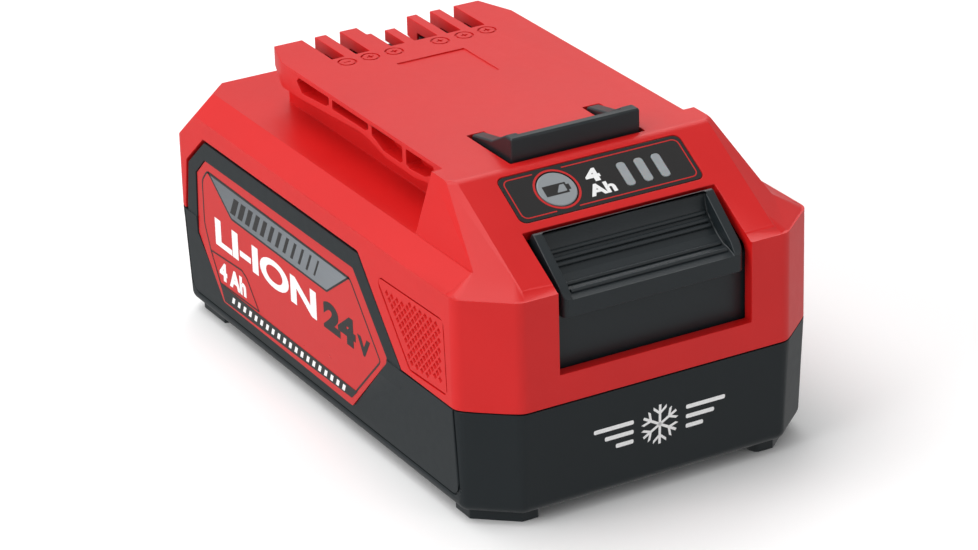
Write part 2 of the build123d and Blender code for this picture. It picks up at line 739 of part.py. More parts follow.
with BuildPart() as gauge_board:
    add(bezel_block(0.3, 8.0, (28.6, 10.8), (-5.8, -4.8)))
    for post in GAUGE_POSTS:
        add(bezel_disc(*post, 0.9, (-7, -4)), mode=Mode.SUBTRACT)
keep(gauge_board, "gauge_board")

with BuildPart() as gauge_leds:
    for x in GAUGE_BARS_X:
        add(bezel_block(x, BARS_DOWN, (1.6, 0.8), (-4.8, -4.1)))
keep(gauge_leds, "gauge_leds")

with BuildPart() as gauge_switch:
    add(bezel_block(*BUTTON_AT, (3.6, 3.6), (-4.8, -4.1)))
    add(bezel_disc(*BUTTON_AT, 0.9, (-4.2, -3.9)))
keep(gauge_switch, "gauge_switch")

with BuildPart() as gauge_screws:
    for post in GAUGE_POSTS:
        add(bezel_disc(*post, 1.3, (-6.6, -5.8)))
        add(bezel_disc(*post, 0.68, (-5.9, -2.6)))
keep(gauge_screws, "gauge_screws")

with BuildPart() as gauge_ribbon:
    thick = 0.35
    run = ((20.4, 52.2), (20.4, 50.6), (26.0, BOARD_TOP_Z), (41.0, BOARD_TOP_Z))
    back = [
        (depth + 0.1, z + thick) if z < run[1][1] else (depth + thick, z + 0.1)
        for depth, z in reversed(run)
    ]
    add(side_prism(list(run) + back, 4.0))
keep(gauge_ribbon, "gauge_ribbon")

# ---------------------------------------------------------------- side labels
for side, label in ((-1, "side_label_left"), (1, "side_label_right")):
    with BuildPart() as side_label:
        film_x = half_width - 0.15 - LABEL_RECESS
        film = label_prism((film_x + 0.02, film_x + 0.35), 0.15)
        add(on_side(film, side))
    keep(side_label, label)

# ---------------------------------------------------------------- cells and their holders
cell_places = [
    (FIRST_CELL_DEPTH + column * CELL_PITCH, LOWER_CELL_Z + layer * CELL_LAYER)
    for layer in (0, 1)
    for column in range(CELL_COUNT)
]

for number, (depth, height) in enumerate(cell_places, start=1):
    with BuildPart() as cell:
        with BuildSketch(Plane.YZ.offset(-CELL_END)) as section:
            with Locations((at_depth(depth), height)):
                Circle(CELL_R)
        extrude(amount=CELL_LENGTH)
        fillet(cell.edges(), 0.8)
        plus_side = 1 if (number + (number - 1) // CELL_COUNT) % 2 else -1
        with BuildSketch(Plane.YZ.offset(plus_side * (CELL_END - 1.2))) as groove:
            with Locations((at_depth(depth), height)):
                Circle(CELL_R + 1)
                Circle(CELL_R - 0.4, mode=Mode.SUBTRACT)
        extrude(groove.sketch, amount=-plus_side * 0.9, mode=Mode.SUBTRACT)
    keep(cell, f"cell_{number:02d}")

HOLDER_IN = CELL_END - 2.5
HOLDER_DEPTHS = (15.2, 127.3)
HOLDER_Z = (4.9, 43.0)

with BuildPart() as cell_holder:
    add(plan_box((HOLDER_IN, HOLDER_END), HOLDER_DEPTHS, HOLDER_Z))
    for depth, height in cell_places:
        with BuildSketch(Plane.YZ.offset(HOLDER_IN - 1)) as seat:
            with Locations((at_depth(depth), height)):
                Circle(CELL_R + 0.05)
        extrude(seat.sketch, amount=CELL_END - HOLDER_IN + 1.05, mode=Mode.SUBTRACT)
        with BuildSketch(Plane.YZ.offset(CELL_END - 1)) as weld_hole:
            with Locations((at_depth(depth), height)):
                Circle(7.0)
        extrude(weld_hole.sketch, amount=4, mode=Mode.SUBTRACT)
    for x, depth in BOARD_SCREWS:
        if x > 0:
            foot_depths = (depth - 1.5, depth + 1.5)
            add(plan_box((x + 0.1, x + 1), foot_depths, (HOLDER_Z[1] - 0.5, BOARD_Z)))
            add(upright(x, depth, 1.9, (HOLDER_Z[1] - 0.5, BOARD_Z)))
            add(upright(x, depth, 0.8, (HOLDER_Z[1] - 0.6, BOARD_Z + 1)), mode=Mode.SUBTRACT)

STRIP_X = (HOLDER_END, HOLDER_END + 0.25)

with BuildPart() as cell_strips:
    for column in range(0, CELL_COUNT, 2):
        front = FIRST_CELL_DEPTH + column * CELL_PITCH - 8.4
        rear = FIRST_CELL_DEPTH + (column + 1) * CELL_PITCH + 8.4
        add(plan_box(STRIP_X, (front, rear), (LOWER_CELL_Z - 4, UPPER_CELL_Z + 4)))
    for depth, height in cell_places:
        with BuildSketch(Plane.YZ.offset(CELL_END)) as dimple:
            with Locations((at_depth(depth), height)):
                Circle(3.6)
        extrude(dimple.sketch, amount=HOLDER_END - CELL_END + 0.1)

with BuildPart() as insulating_sheet:
    add(plan_box((HOLDER_END + 0.7, HOLDER_END + 1.1), (15.6, 126.0), (5.2, 42.6)))

for piece, label in (
    (cell_holder, "cell_holder"),
    (cell_strips, "cell_strips"),
    (insulating_sheet, "insulating_sheet"),
):
    with BuildPart() as left_piece:
        add(on_side(piece.part, -1))
    keep(left_piece, f"{label}_left")
    keep(piece, f"{label}_right")

# ---------------------------------------------------------------- electronics
BOARD_HALF = 31.8
BOARD_DEPTHS = (38.0, 112.0)

with BuildPart() as main_board:
    add(plan_box((-BOARD_HALF, BOARD_HALF), BOARD_DEPTHS, (BOARD_Z, BOARD_TOP_Z)))
    for x, depth in BOARD_SCREWS:
        add(upright(x, depth, 1.1, (BOARD_Z - 1, BOARD_TOP_Z + 1)), mode=Mode.SUBTRACT)
keep(main_board, "main_board")

with BuildPart() as board_screws:
    for x, depth in BOARD_SCREWS:
        add(upright(x, depth, 0.78, (HOLDER_Z[1] - 0.5, BOARD_TOP_Z + 0.1)))
        add(upright(x, depth, 1.5, (BOARD_TOP_Z, BOARD_TOP_Z + 1.1)))
keep(board_screws, "board_screws")

with BuildPart() as board_components:
    for x_range, depth_range, height in (
        ((-15.0, -8.0), (46.0, 53.0), 1.1),
        ((6.0, 12.0), (48.0, 53.0), 1.3),
        ((-2.0, 2.0), (55.0, 61.0), 1.0),
        ((12.0, 14.5), (60.0, 64.5), 0.9),
        ((16.0, 18.5), (60.0, 64.5), 0.9),
        ((-18.0, -12.0), (60.0, 63.0), 1.2),
    ):
        add(plan_box(x_range, depth_range, (BOARD_TOP_Z, BOARD_TOP_Z + height)))
    for x in (-14.0, -6.0):
        add(upright(x, 80.0, 3.2, (BOARD_TOP_Z, BOARD_TOP_Z + 9.0)))
keep(board_components, "board_components")

with BuildPart() as power_transistors:
    for column in range(4):
        x = -12.0 + column * 8.0
        add(plan_box((x - 3.0, x + 3.0), (68.0, 74.0), (BOARD_TOP_Z, BOARD_TOP_Z + 2.2)))
keep(power_transistors, "power_transistors")

TERMINAL_HALF = 19.8
TERMINAL_DEPTHS = (89.0, 105.2)
TERMINAL_Z = (BOARD_TOP_Z, 59.8)

with BuildPart() as terminal_block:
    add(plan_box((-TERMINAL_HALF, TERMINAL_HALF), TERMINAL_DEPTHS, TERMINAL_Z))
    for x, width in SLOTS:
        channel = (x - width / 2 - 0.2, x + width / 2 + 0.2)
        add(plan_box(channel, (94.0, 110.0), (52.4, 65.0)), mode=Mode.SUBTRACT)
keep(terminal_block, "terminal_block")


def blade_pair(x, half_gap, depths):
    """Two facing contact blades that stand in one channel of the terminal block."""
    with BuildPart() as pair:
        for side in (-1, 1):
            near = x + side * half_gap
            add(plan_box((near, near + side * 0.4), depths, (52.4, 58.4)))
        add(plan_box((x - half_gap - 0.4, x + half_gap + 0.4), depths, (52.4, 52.8)))
    return pair.part


with BuildPart() as power_contacts:
    for x, width in (SLOTS[0], SLOTS[-1]):
        add(blade_pair(x, width / 2 - 0.4, (94.6, 103.0)))
keep(power_contacts, "power_contacts")

with BuildPart() as signal_contacts:
    for x, width in (SLOTS[1], SLOTS[2], SLOTS[4]):
        add(blade_pair(x, width / 2 - 0.4, (94.6, 101.0)))
keep(signal_contacts, "signal_contacts")

TAB_X = (STRIP_X[1], STRIP_X[1] + 0.3)


def strip_tab(x_side, depth, width):
    """Bent strip from the cells' strips, past the board's edge and onto the board."""
    with BuildPart() as tab:
        x_range = (x_side * TAB_X[0], x_side * TAB_X[1])
        depths = (depth - width / 2, depth + width / 2)
        add(plan_box(x_range, depths, (35.0, BOARD_TOP_Z + 0.4)))
        over = (x_side * 28.5, x_side * TAB_X[1])
        add(plan_box(over, depths, (BOARD_TOP_Z, BOARD_TOP_Z + 0.4)))
    return tab.part


with BuildPart() as positive_tab:
    add(strip_tab(1, 90.0, 8.0))
keep(positive_tab, "positive_tab")

with BuildPart() as negative_tab:
    add(strip_tab(-1, 90.0, 8.0))
keep(negative_tab, "negative_tab")

with BuildPart() as balance_tabs:
    for side in (-1, 1):
        for depth in (56.0, 72.0):
            add(strip_tab(side, depth, 3.0))
keep(balance_tabs, "balance_tabs")

with BuildPart() as thermistor:
    bead_depth = FIRST_CELL_DEPTH + 2.5 * CELL_PITCH
    with Locations((0, at_depth(bead_depth), UPPER_CELL_Z + 6.4)):
        Sphere(1.4)
    add(plan_box((-0.9, 0.9), (bead_depth - 0.3, bead_depth + 0.3), (UPPER_CELL_Z + 6.4, BOARD_Z)))
keep(thermistor, "thermistor")

with BuildPart() as foam_pads:
    add(plan_box((-12.0, 12.0), (127.4, 128.5), (HOOK_Z + 1, 40.0)))
    for x in (-20.0, 20.0):
        add(plan_box((x - 5.0, x + 5.0), (38.0, 112.0), (CELL_TOP_Z + 0.05, BOARD_Z - 0.05)))
keep(foam_pads, "foam_pads")

with BuildPart() as case_screws:
    for x, depth in CASE_SCREWS:
        add(upright(x, depth, SCREW_R - 0.05, (12.0, 36.0)))
        add(upright(x, depth, SCREW_R + 1.1, (9.6, 12.0)))
        add(upright(x, depth, 1.0, (8.0, 10.8)), mode=Mode.SUBTRACT)
keep(case_screws, "case_screws")
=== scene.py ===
"""Looks of a slide-on battery pack for an ice auger: shells, labels, prints and studio.

Lengths are metres in the pack's own frame: the front faces -Y and the feet stand on
Z = 0. Depths are millimetres behind the front face, heights are millimetres above the
floor, and each operator below finishes one group of pieces.
"""

import json
from math import cos, pi, radians, sin, tau

import bmesh
import bpy
from bpy.props import FloatProperty, FloatVectorProperty, IntProperty, PointerProperty
from mathutils import Matrix, Vector


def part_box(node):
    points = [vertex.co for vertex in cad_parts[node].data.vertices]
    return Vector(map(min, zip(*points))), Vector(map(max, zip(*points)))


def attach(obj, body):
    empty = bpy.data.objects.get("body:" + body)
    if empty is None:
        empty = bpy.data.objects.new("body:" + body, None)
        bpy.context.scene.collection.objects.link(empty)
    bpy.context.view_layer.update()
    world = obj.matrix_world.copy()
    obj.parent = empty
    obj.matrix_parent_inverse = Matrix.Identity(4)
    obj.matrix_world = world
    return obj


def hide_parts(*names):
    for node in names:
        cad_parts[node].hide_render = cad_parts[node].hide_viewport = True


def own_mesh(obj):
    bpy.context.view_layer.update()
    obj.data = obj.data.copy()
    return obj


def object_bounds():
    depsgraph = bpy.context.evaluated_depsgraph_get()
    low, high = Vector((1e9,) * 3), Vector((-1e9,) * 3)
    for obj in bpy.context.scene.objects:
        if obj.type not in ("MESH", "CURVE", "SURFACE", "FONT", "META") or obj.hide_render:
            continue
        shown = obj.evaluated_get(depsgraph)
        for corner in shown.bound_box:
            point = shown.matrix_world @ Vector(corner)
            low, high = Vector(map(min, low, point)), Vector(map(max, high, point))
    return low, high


bl_info = {
    "name": "Auger Battery Pack Looks",
    "version": (1, 0, 0),
    "blender": (4, 5, 0),
    "location": "View3D > Sidebar > Battery Pack",
    "description": "Dresses a slide-on battery pack with shells, labels, prints and a studio",
    "category": "Object",
}

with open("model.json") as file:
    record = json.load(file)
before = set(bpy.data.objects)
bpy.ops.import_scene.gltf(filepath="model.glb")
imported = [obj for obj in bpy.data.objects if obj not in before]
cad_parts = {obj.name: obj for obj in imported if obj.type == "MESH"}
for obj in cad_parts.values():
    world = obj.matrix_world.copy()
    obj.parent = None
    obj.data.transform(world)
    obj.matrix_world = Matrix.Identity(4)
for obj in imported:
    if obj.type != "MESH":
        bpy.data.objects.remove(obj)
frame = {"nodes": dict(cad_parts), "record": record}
CAD_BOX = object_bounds()
NODES = frame["nodes"]

MM = 0.001
MERGE = 0.002 * MM
FLAT_ANGLE = radians(0.4)
SHARP_ANGLE = radians(30.0)
SMOOTH_ANGLE = radians(32.0)
FACE_SHARE = 2.4
FINISH_SUFFIX = "_finish"
FRONT = CAD_BOX[0].y
LABEL_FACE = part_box("side_label_right")[1].x
SIDES = {"left": -1, "right": 1}

# Heights and half widths of the casing's main edges, in millimetres.
FOOT_Z = 2.2
SPLIT_Z = 24.4
SHOULDER_Z = 47.8
DECK_Z = 50.9
TOP_Z = 62.9
HALF_WIDTH = 40.0
LENGTH = 131.0
RAIL_HALF = 27.5
TOWER_REAR = 33.4
CASE_DRAFT = 1.0

# The gauge film lies on the sloping bezel, from its rear edge downwards.
BEZEL_ANGLE = radians(30.3)
FILM_THICKNESS = 0.4
FILM_HALF = 20.6
FILM_DOWN = 11.3
FILM_FROM_RIDGE = 1.65


# ---------------------------------------------------------------- settings
class ShellSettings(bpy.types.PropertyGroup):
    """Colours and edges of the moulded shells"""

    red: FloatVectorProperty(
        name="Casing red",
        description="Base colour of the upper casing",
        subtype="COLOR",
        default=(0.60, 0.009, 0.009),
    )
    charcoal: FloatVectorProperty(
        name="Casing charcoal",
        description="Base colour of the lower casing",
        subtype="COLOR",
        default=(0.010, 0.0145, 0.017),
    )
    latch: FloatVectorProperty(
        name="Latch charcoal",
        description="Base colour of the release button and the latch bar",
        subtype="COLOR",
        default=(0.013, 0.018, 0.021),
    )
    form_edge: FloatProperty(
        name="Form edge",
        description="Radius of the soft edges between the casing's main faces",
        default=0.9 * MM,
        unit="LENGTH",
    )
    fine_edge: FloatProperty(
        name="Fine edge",
        description="Radius of every other moulded edge",
        default=0.16 * MM,
        unit="LENGTH",
    )
    grain: FloatProperty(
        name="Mould grain",
        description="Size of the spark-eroded grain of the moulded faces",
        default=0.16 * MM,
        unit="LENGTH",
    )


class PrintSettings(bpy.types.PropertyGroup):
    """Inks and line widths of the labels"""

    red: FloatVectorProperty(
        name="Label red",
        description="Ink colour of the labels' ground",
        subtype="COLOR",
        default=(0.54, 0.008, 0.008),
    )
    black: FloatVectorProperty(
        name="Black ink",
        description="Ink colour of outlines and of the gauge's ground",
        subtype="COLOR",
        default=(0.012, 0.011, 0.011),
    )
    white: FloatVectorProperty(
        name="White ink",
        description="Ink colour of the light lettering",
        subtype="COLOR",
        default=(0.86, 0.86, 0.86),
    )
    silver: FloatVectorProperty(
        name="Silver ink",
        description="Ink colour of the band along the label's upper edge",
        subtype="COLOR",
        default=(0.23, 0.25, 0.27),
    )
    thickness: FloatProperty(
        name="Ink thickness",
        description="How far one layer of ink stands up",
        default=0.03 * MM,
        unit="LENGTH",
    )
    line: FloatProperty(
        name="Line width",
        description="Width of the labels' thin outlines",
        default=0.42 * MM,
        unit="LENGTH",
    )


class GripSettings(bpy.types.PropertyGroup):
    """Dimples of the grip patches"""

    pitch: FloatProperty(
        name="Pitch",
        description="Distance between neighbouring dimples along the pack",
        default=2.2 * MM,
        unit="LENGTH",
    )
    squash: FloatProperty(
        name="Height share",
        description="Height of a dimple as a share of its length",
        default=0.86,
    )
    depth: FloatProperty(
        name="Depth",
        description="Depth of each dimple",
        default=0.5 * MM,
        unit="LENGTH",
    )
    cells: IntProperty(
        name="Cells",
        description="Dimples along one side of the grid that the patch is cut from",
        default=26,
    )


class StageSettings(bpy.types.PropertyGroup):
    """Camera, lights and floor"""

    eye: FloatVectorProperty(
        name="Camera place",
        description="Where the camera stands",
        subtype="TRANSLATION",
        default=(-0.35828, -0.63732, 0.35280),
    )
    aim: FloatVectorProperty(
        name="Camera aim",
        description="Point that the camera looks at",
        subtype="TRANSLATION",
        default=(-0.01454, -0.02626, 0.03500),
    )
    roll: FloatProperty(
        name="Camera roll",
        description="Turn of the camera about its own line of sight",
        default=radians(-1.61),
        unit="ROTATION",
    )
    lens: FloatProperty(name="Lens", description="Focal length in millimetres", default=143.2)
    floor: FloatVectorProperty(
        name="Floor",
        description="Colour of the floor",
        subtype="COLOR",
        default=(0.985, 0.985, 0.985),
    )
    key: FloatProperty(name="Key light", description="Power of the key light", default=11.0)
    side: FloatProperty(name="Side light", description="Power of the left light", default=7.5)
    front: FloatProperty(name="Front light", description="Power of the front light", default=0.6)
    rim: FloatProperty(name="Rim light", description="Power of the light behind", default=2.0)
    sky: FloatProperty(name="Sky", description="Strength of the light all round", default=0.48)


# ---------------------------------------------------------------- material wiring
class Wire:
    """A value in a finish. Python's operators on it add Math nodes."""

    def __init__(self, finish, socket):
        self.finish = finish
        self.socket = socket

    def math(self, operation, *values):
        """Add a Math node that takes these values."""
        return self.finish.node("ShaderNodeMath", {"operation": operation}, dict(enumerate(values)))

    def __add__(self, other):
        return self.math("ADD", self, other)

    def __radd__(self, other):
        return self.math("ADD", other, self)

    def __sub__(self, other):
        return self.math("SUBTRACT", self, other)

    def __rsub__(self, other):
        return self.math("SUBTRACT", other, self)

    def __mul__(self, other):
        return self.math("MULTIPLY", self, other)

    def __rmul__(self, other):
        return self.math("MULTIPLY", other, self)


class Finish:
    """A material under construction, read in the pack's own coordinates."""

    COLOUR_A, COLOUR_B, COLOUR_OUT = 6, 7, 2

    def __init__(self, name):
        self.material = bpy.data.materials.new(name + FINISH_SUFFIX)
        self.material.use_nodes = True
        self.tree = self.material.node_tree
        self.tree.nodes.clear()
        self.place = self.node("ShaderNodeTexCoord", out="Object")

    def node(self, kind, settings=None, inputs=None, out=0):
        """Add a node with these settings and inputs, and return one of its outputs."""
        node = self.tree.nodes.new(kind)
        for key, value in (settings or {}).items():
            if key == "stops":
                for stop, (position, colour) in zip(node.color_ramp.elements, value):
                    stop.position = position
                    stop.color = colour
            else:
                setattr(node, key, value)
        for key, value in (inputs or {}).items():
            if isinstance(value, Wire):
                self.tree.links.new(value.socket, node.inputs[key])
            else:
                node.inputs[key].default_value = value
        return Wire(self, node.outputs[out])

    def axis(self, name):
        """One coordinate of the pack's frame."""
        return self.node("ShaderNodeSeparateXYZ", inputs={"Vector": self.place}, out=name)

    def stretched(self, scale):
        """The pack's coordinates, drawn out along the axes with a small scale."""
        return self.node("ShaderNodeMapping", inputs={"Vector": self.place, "Scale": scale})

    def noise(self, size, detail=2.0, place=None):
        """Soft noise whose features are about this large."""
        inputs = {"Vector": place or self.place, "Scale": 1 / size, "Detail": detail}
        return self.node("ShaderNodeTexNoise", inputs=inputs)

    def cells(self, size):
        """Distance to the nearest of scattered points, about this far apart."""
        return self.node("ShaderNodeTexVoronoi", inputs={"Vector": self.place, "Scale": 1 / size})

    def ramp(self, value, low, high):
        """Ramp from 0 at low to 1 at high."""
        inputs = {"Value": value, "From Min": low, "From Max": high}
        return self.node("ShaderNodeMapRange", inputs=inputs)

    def blend(self, share, first, second):
        """First colour where share is 0, second where it is 1."""
        inputs = {0: share, self.COLOUR_A: first, self.COLOUR_B: second}
        return self.node("ShaderNodeMix", {"data_type": "RGBA"}, inputs, out=self.COLOUR_OUT)

    def bump(self, height, depth):
        """Bump normal from a height of 0 to 1 that stands for this depth."""
        return self.node("ShaderNodeBump", inputs={"Height": height, "Distance": depth})

    def shaded(self, **sockets):
        """Close the material with a Principled shader that takes these sockets."""
        inputs = {name.replace("_", " "): value for name, value in sockets.items()}
        shader = self.node("ShaderNodeBsdfPrincipled", inputs=inputs)
        output = self.tree.nodes.new("ShaderNodeOutputMaterial")
        self.tree.links.new(shader.socket, output.inputs["Surface"])
        return self.material


def opaque(colour, share=1.0):
    """RGBA of a colour, darkened or lightened evenly."""
    return tuple(min(1.0, channel * share) for channel in colour[:3]) + (1.0,)


def moulded(name, colour, roughness, grain, relief, gloss=0.5):
    """Injection-moulded plastic with a fine spark-eroded grain and faint flow marks."""
    finish = Finish(name)
    flow = finish.ramp(finish.noise(14 * MM, 3.0), 0.32, 0.68)
    scuffs = finish.ramp(finish.noise(2.2 * MM, 5.0), 0.35, 0.75)
    tone = finish.blend(flow, opaque(colour, 0.98), opaque(colour, 1.02))
    fine = finish.noise(grain, 2.0)
    coarse = finish.noise(grain * 3.1, 1.0)
    return finish.shaded(
        Base_Color=tone,
        Roughness=roughness + 0.03 * scuffs + 0.015 * flow,
        Specular_IOR_Level=gloss,
        Normal=finish.bump(0.65 * fine + 0.35 * coarse, relief),
    )


def film(name, colour, roughness):
    """Printed film with a clear top coat and the faint unevenness of its adhesive."""
    finish = Finish(name)
    waves = finish.noise(3.5 * MM, 2.0)
    screen = finish.noise(0.12 * MM, 1.0)
    tone = finish.blend(finish.ramp(screen, 0.3, 0.7), opaque(colour, 0.94), opaque(colour, 1.05))
    return finish.shaded(
        Base_Color=tone,
        Roughness=roughness + 0.06 * waves,
        Normal=finish.bump(0.85 * waves + 0.15 * screen, 0.02 * MM),
    )


def ink(name, colour, roughness=0.38, metallic=0.0):
    """Screen-printed ink, slightly mottled."""
    finish = Finish(name)
    mottle = finish.ramp(finish.noise(0.35 * MM, 3.0), 0.3, 0.7)
    return finish.shaded(
        Base_Color=finish.blend(mottle, opaque(colour, 0.93), opaque(colour, 1.04)),
        Roughness=roughness + 0.08 * mottle,
        Metallic=metallic,
        Normal=finish.bump(mottle, 0.006 * MM),
    )


def silver_band(name, colour):
    """Silver ink with a brushed look, its colour lighter towards the front and darker towards the
    rear.
    """
    finish = Finish(name)
    fade = finish.ramp(finish.axis("Y"), FRONT + 45 * MM, FRONT + 118 * MM)
    brushed = finish.noise(0.3 * MM, 3.0, finish.stretched((1.0, 0.05, 1.0)))
    tone = finish.blend(fade, opaque(colour, 1.25), opaque(colour, 0.75))
    return finish.shaded(
        Base_Color=tone,
        Roughness=0.34 + 0.16 * brushed,
        Metallic=0.45,
        Normal=finish.bump(brushed, 0.008 * MM),
    )


def metal(name, colour, roughness, stretch):
    """Drawn or rolled metal with fine lines along its working direction."""
    finish = Finish(name)
    lines = finish.noise(0.25 * MM, 4.0, finish.stretched(stretch))
    stains = finish.ramp(finish.noise(4 * MM, 3.0), 0.35, 0.7)
    return finish.shaded(
        Base_Color=finish.blend(stains, opaque(colour, 0.82), opaque(colour, 1.06)),
        Roughness=roughness + 0.12 * lines + 0.06 * stains,
        Metallic=1.0,
        Normal=finish.bump(lines, 0.008 * MM),
    )


def circuit_board(name):
    """Green solder mask over copper traces, on glass-fibre board."""
    finish = Finish(name)
    traces = finish.node(
        "ShaderNodeTexBrick",
        {"offset": 0.35, "squash": 1.6},
        {
            "Vector": finish.place,
            "Scale": 1 / (4 * MM),
            "Mortar Size": 0.045,
            "Mortar Smooth": 0.2,
            "Brick Width": 1.3,
            "Row Height": 0.42,
        },
        out="Fac",
    )
    weave = finish.noise(0.5 * MM, 2.0, finish.stretched((1.0, 0.2, 1.0)))
    return finish.shaded(
        Base_Color=finish.blend(traces, (0.008, 0.085, 0.035, 1), (0.02, 0.19, 0.075, 1)),
        Roughness=0.32 + 0.12 * weave,
        Normal=finish.bump(0.8 * traces + 0.2 * weave, 0.03 * MM),
    )


def cell_sleeve(name):
    """Shrunk sleeve of a cell: a blue film with fine wrinkles round its ends."""
    finish = Finish(name)
    wrinkles = finish.noise(0.8 * MM, 3.0, finish.stretched((0.25, 1.0, 1.0)))
    tone = finish.blend(finish.noise(9 * MM, 2.0), (0.015, 0.10, 0.26, 1), (0.03, 0.15, 0.34, 1))
    return finish.shaded(
        Base_Color=tone,
        Roughness=0.28 + 0.14 * wrinkles,
        Normal=finish.bump(wrinkles, 0.04 * MM),
    )


def foam(name):
    """Open-celled foam, with painted shade that darkens each pore where its bump sinks."""
    finish = Finish(name)
    pore_depth_and_shade = finish.ramp(finish.cells(0.7 * MM), 0.0, 0.6)
    return finish.shaded(
        # Painted shade: the grey darkens towards the middle of each pore, where the bump is
        # deepest.
        Base_Color=finish.blend(pore_depth_and_shade, (0.02, 0.02, 0.022, 1), (0.09, 0.09, 0.095, 1)),
        Roughness=0.95,
        Normal=finish.bump(pore_depth_and_shade, 0.2 * MM),
    )


def insulating_paper(name):
    """Pale fish paper with visible fibres."""
    finish = Finish(name)
    fibres = finish.noise(0.5 * MM, 5.0, finish.stretched((1.0, 0.3, 1.0)))
    return finish.shaded(
        Base_Color=finish.blend(fibres, (0.42, 0.47, 0.40, 1), (0.66, 0.70, 0.60, 1)),
        Roughness=0.85,
        Normal=finish.bump(fibres, 0.03 * MM),
    )


def ribbon_cable(name):
    """Flat grey cable with a groove between each pair of wires, darkened by painted shade."""
    finish = Finish(name)
    wire_relief_and_shade = finish.node(
        "ShaderNodeTexWave",
        {"wave_type": "BANDS", "bands_direction": "X"},
        {"Vector": finish.place, "Scale": 0.314 / (1.27 * MM), "Distortion": 0.0},
    )
    return finish.shaded(
        # Painted shade: the grey darkens where the bump sinks into the grooves between the wires.
        Base_Color=finish.blend(wire_relief_and_shade, (0.16, 0.16, 0.17, 1), (0.42, 0.42, 0.43, 1)),
        Roughness=0.5,
        Normal=finish.bump(wire_relief_and_shade, 0.2 * MM),
    )


def frosted(name, colour, roughness, scatter=0.25):
    """Milky plastic that light soaks into a little way."""
    finish = Finish(name)
    clouds = finish.noise(1.2 * MM, 2.0)
    return finish.shaded(
        Base_Color=finish.blend(clouds, opaque(colour, 0.92), opaque(colour, 1.06)),
        Roughness=roughness + 0.1 * clouds,
        Subsurface_Weight=scatter,
        Subsurface_Scale=0.6 * MM,
        Normal=finish.bump(finish.noise(0.1 * MM, 1.0), 0.008 * MM),
    )


def make_finishes(shell, prints):
    """Every finish of the pack by the name of its slot in the record."""
    grain = shell.grain
    return {
        "red_casing": moulded("red_casing", shell.red, 0.34, grain, 0.010 * MM, 0.32),
        "charcoal_casing": moulded(
            "charcoal_casing", shell.charcoal, 0.40, grain, 0.012 * MM, 0.32
        ),
        "charcoal_latch": moulded("charcoal_latch", shell.latch, 0.32, grain, 0.010 * MM, 0.45),
        "spring_steel": metal("spring_steel", (0.62, 0.63, 0.65), 0.22, (1.0, 1.0, 0.2)),
        "gauge_film": film("gauge_film", prints.black, 0.20),
        "grey_rubber": moulded("grey_rubber", (0.25, 0.27, 0.285), 0.5, 0.1 * MM, 0.01 * MM, 0.4),
        "light_pipe": frosted("light_pipe", (0.30, 0.32, 0.335), 0.42),
        "circuit_board": circuit_board("circuit_board"),
        "led_lens": frosted("led_lens", (0.55, 0.78, 0.50), 0.18, 0.5),
        "black_component": moulded("black_component", (0.018, 0.018, 0.019), 0.5, grain, 0.01 * MM),
        "screw_steel": metal("screw_steel", (0.50, 0.50, 0.52), 0.28, (1.0, 1.0, 0.3)),
        "ribbon_cable": ribbon_cable("ribbon_cable"),
        "label_film": film("label_film", prints.red, 0.26),
        "holder_plastic": moulded("holder_plastic", (0.03, 0.032, 0.035), 0.48, grain, 0.02 * MM),
        "nickel_strip": metal("nickel_strip", (0.66, 0.64, 0.60), 0.26, (1.0, 0.1, 1.0)),
        "insulating_paper": insulating_paper("insulating_paper"),
        "terminal_plastic": moulded(
            "terminal_plastic", (0.016, 0.016, 0.018), 0.44, grain, 0.02 * MM
        ),
        "contact_brass": metal("contact_brass", (0.76, 0.62, 0.36), 0.22, (1.0, 0.15, 1.0)),
        "thermistor_bead": frosted("thermistor_bead", (0.05, 0.05, 0.06), 0.2, 0.1),
        "foam": foam("foam"),
        "cell_sleeve": cell_sleeve("cell_sleeve"),
        "black_ink": ink("black_ink", prints.black, 0.3),
        "red_ink": ink("red_ink", prints.red, 0.3),
        "white_ink": ink("white_ink", prints.white, 0.36),
        "silver_ink": silver_band("silver_ink", prints.silver),
    }


def finish_named(name):
    """A finish that the materials operator has made."""
    return bpy.data.materials[name + FINISH_SUFFIX]


# ---------------------------------------------------------------- modelling helpers
def only(obj):
    """Deselect everything else and make this the active object."""
    bpy.ops.object.select_all(action="DESELECT")
    obj.select_set(True)
    bpy.context.view_layer.objects.active = obj
    return obj


def editing(obj, kind="VERT"):
    """Enter edit mode with nothing selected and return the mesh under edit."""
    only(obj)
    bpy.ops.object.mode_set(mode="EDIT")
    bpy.ops.mesh.select_mode(type=kind)
    bpy.ops.mesh.select_all(action="DESELECT")
    return bmesh.from_edit_mesh(obj.data)


def done_editing(obj):
    """Leave edit mode."""
    bpy.ops.object.mode_set(mode="OBJECT")
    return obj


def choose(obj, mesh, parts, rule):
    """Select the faces or edges that a rule on their middle and themselves picks."""
    for part in parts:
        middle = sum((v.co for v in part.verts), Vector()) / len(part.verts)
        part.select_set(bool(rule(middle, part)))
    bmesh.update_edit_mesh(obj.data)


def add_modifier(obj, kind, **settings):
    """Add a modifier, set it and apply it."""
    only(obj)
    bpy.ops.object.modifier_add(type=kind)
    modifier = obj.modifiers[-1]
    for key, value in settings.items():
        setattr(modifier, key, value)
    bpy.ops.object.modifier_apply(modifier=modifier.name)


def shade(obj, angle=SMOOTH_ANGLE):
    """Smooth shading across soft edges, with flat faces kept flat."""
    only(obj)
    bpy.ops.object.shade_smooth_by_angle(angle=angle)
    add_modifier(obj, "WEIGHTED_NORMAL", keep_sharp=True)


def settle(obj, surface):
    """Place a flat piece on a surface and put that place in its mesh."""
    only(obj)
    obj.matrix_world = surface @ obj.matrix_world
    bpy.ops.object.transform_apply(location=True, rotation=True, scale=True)
    return obj


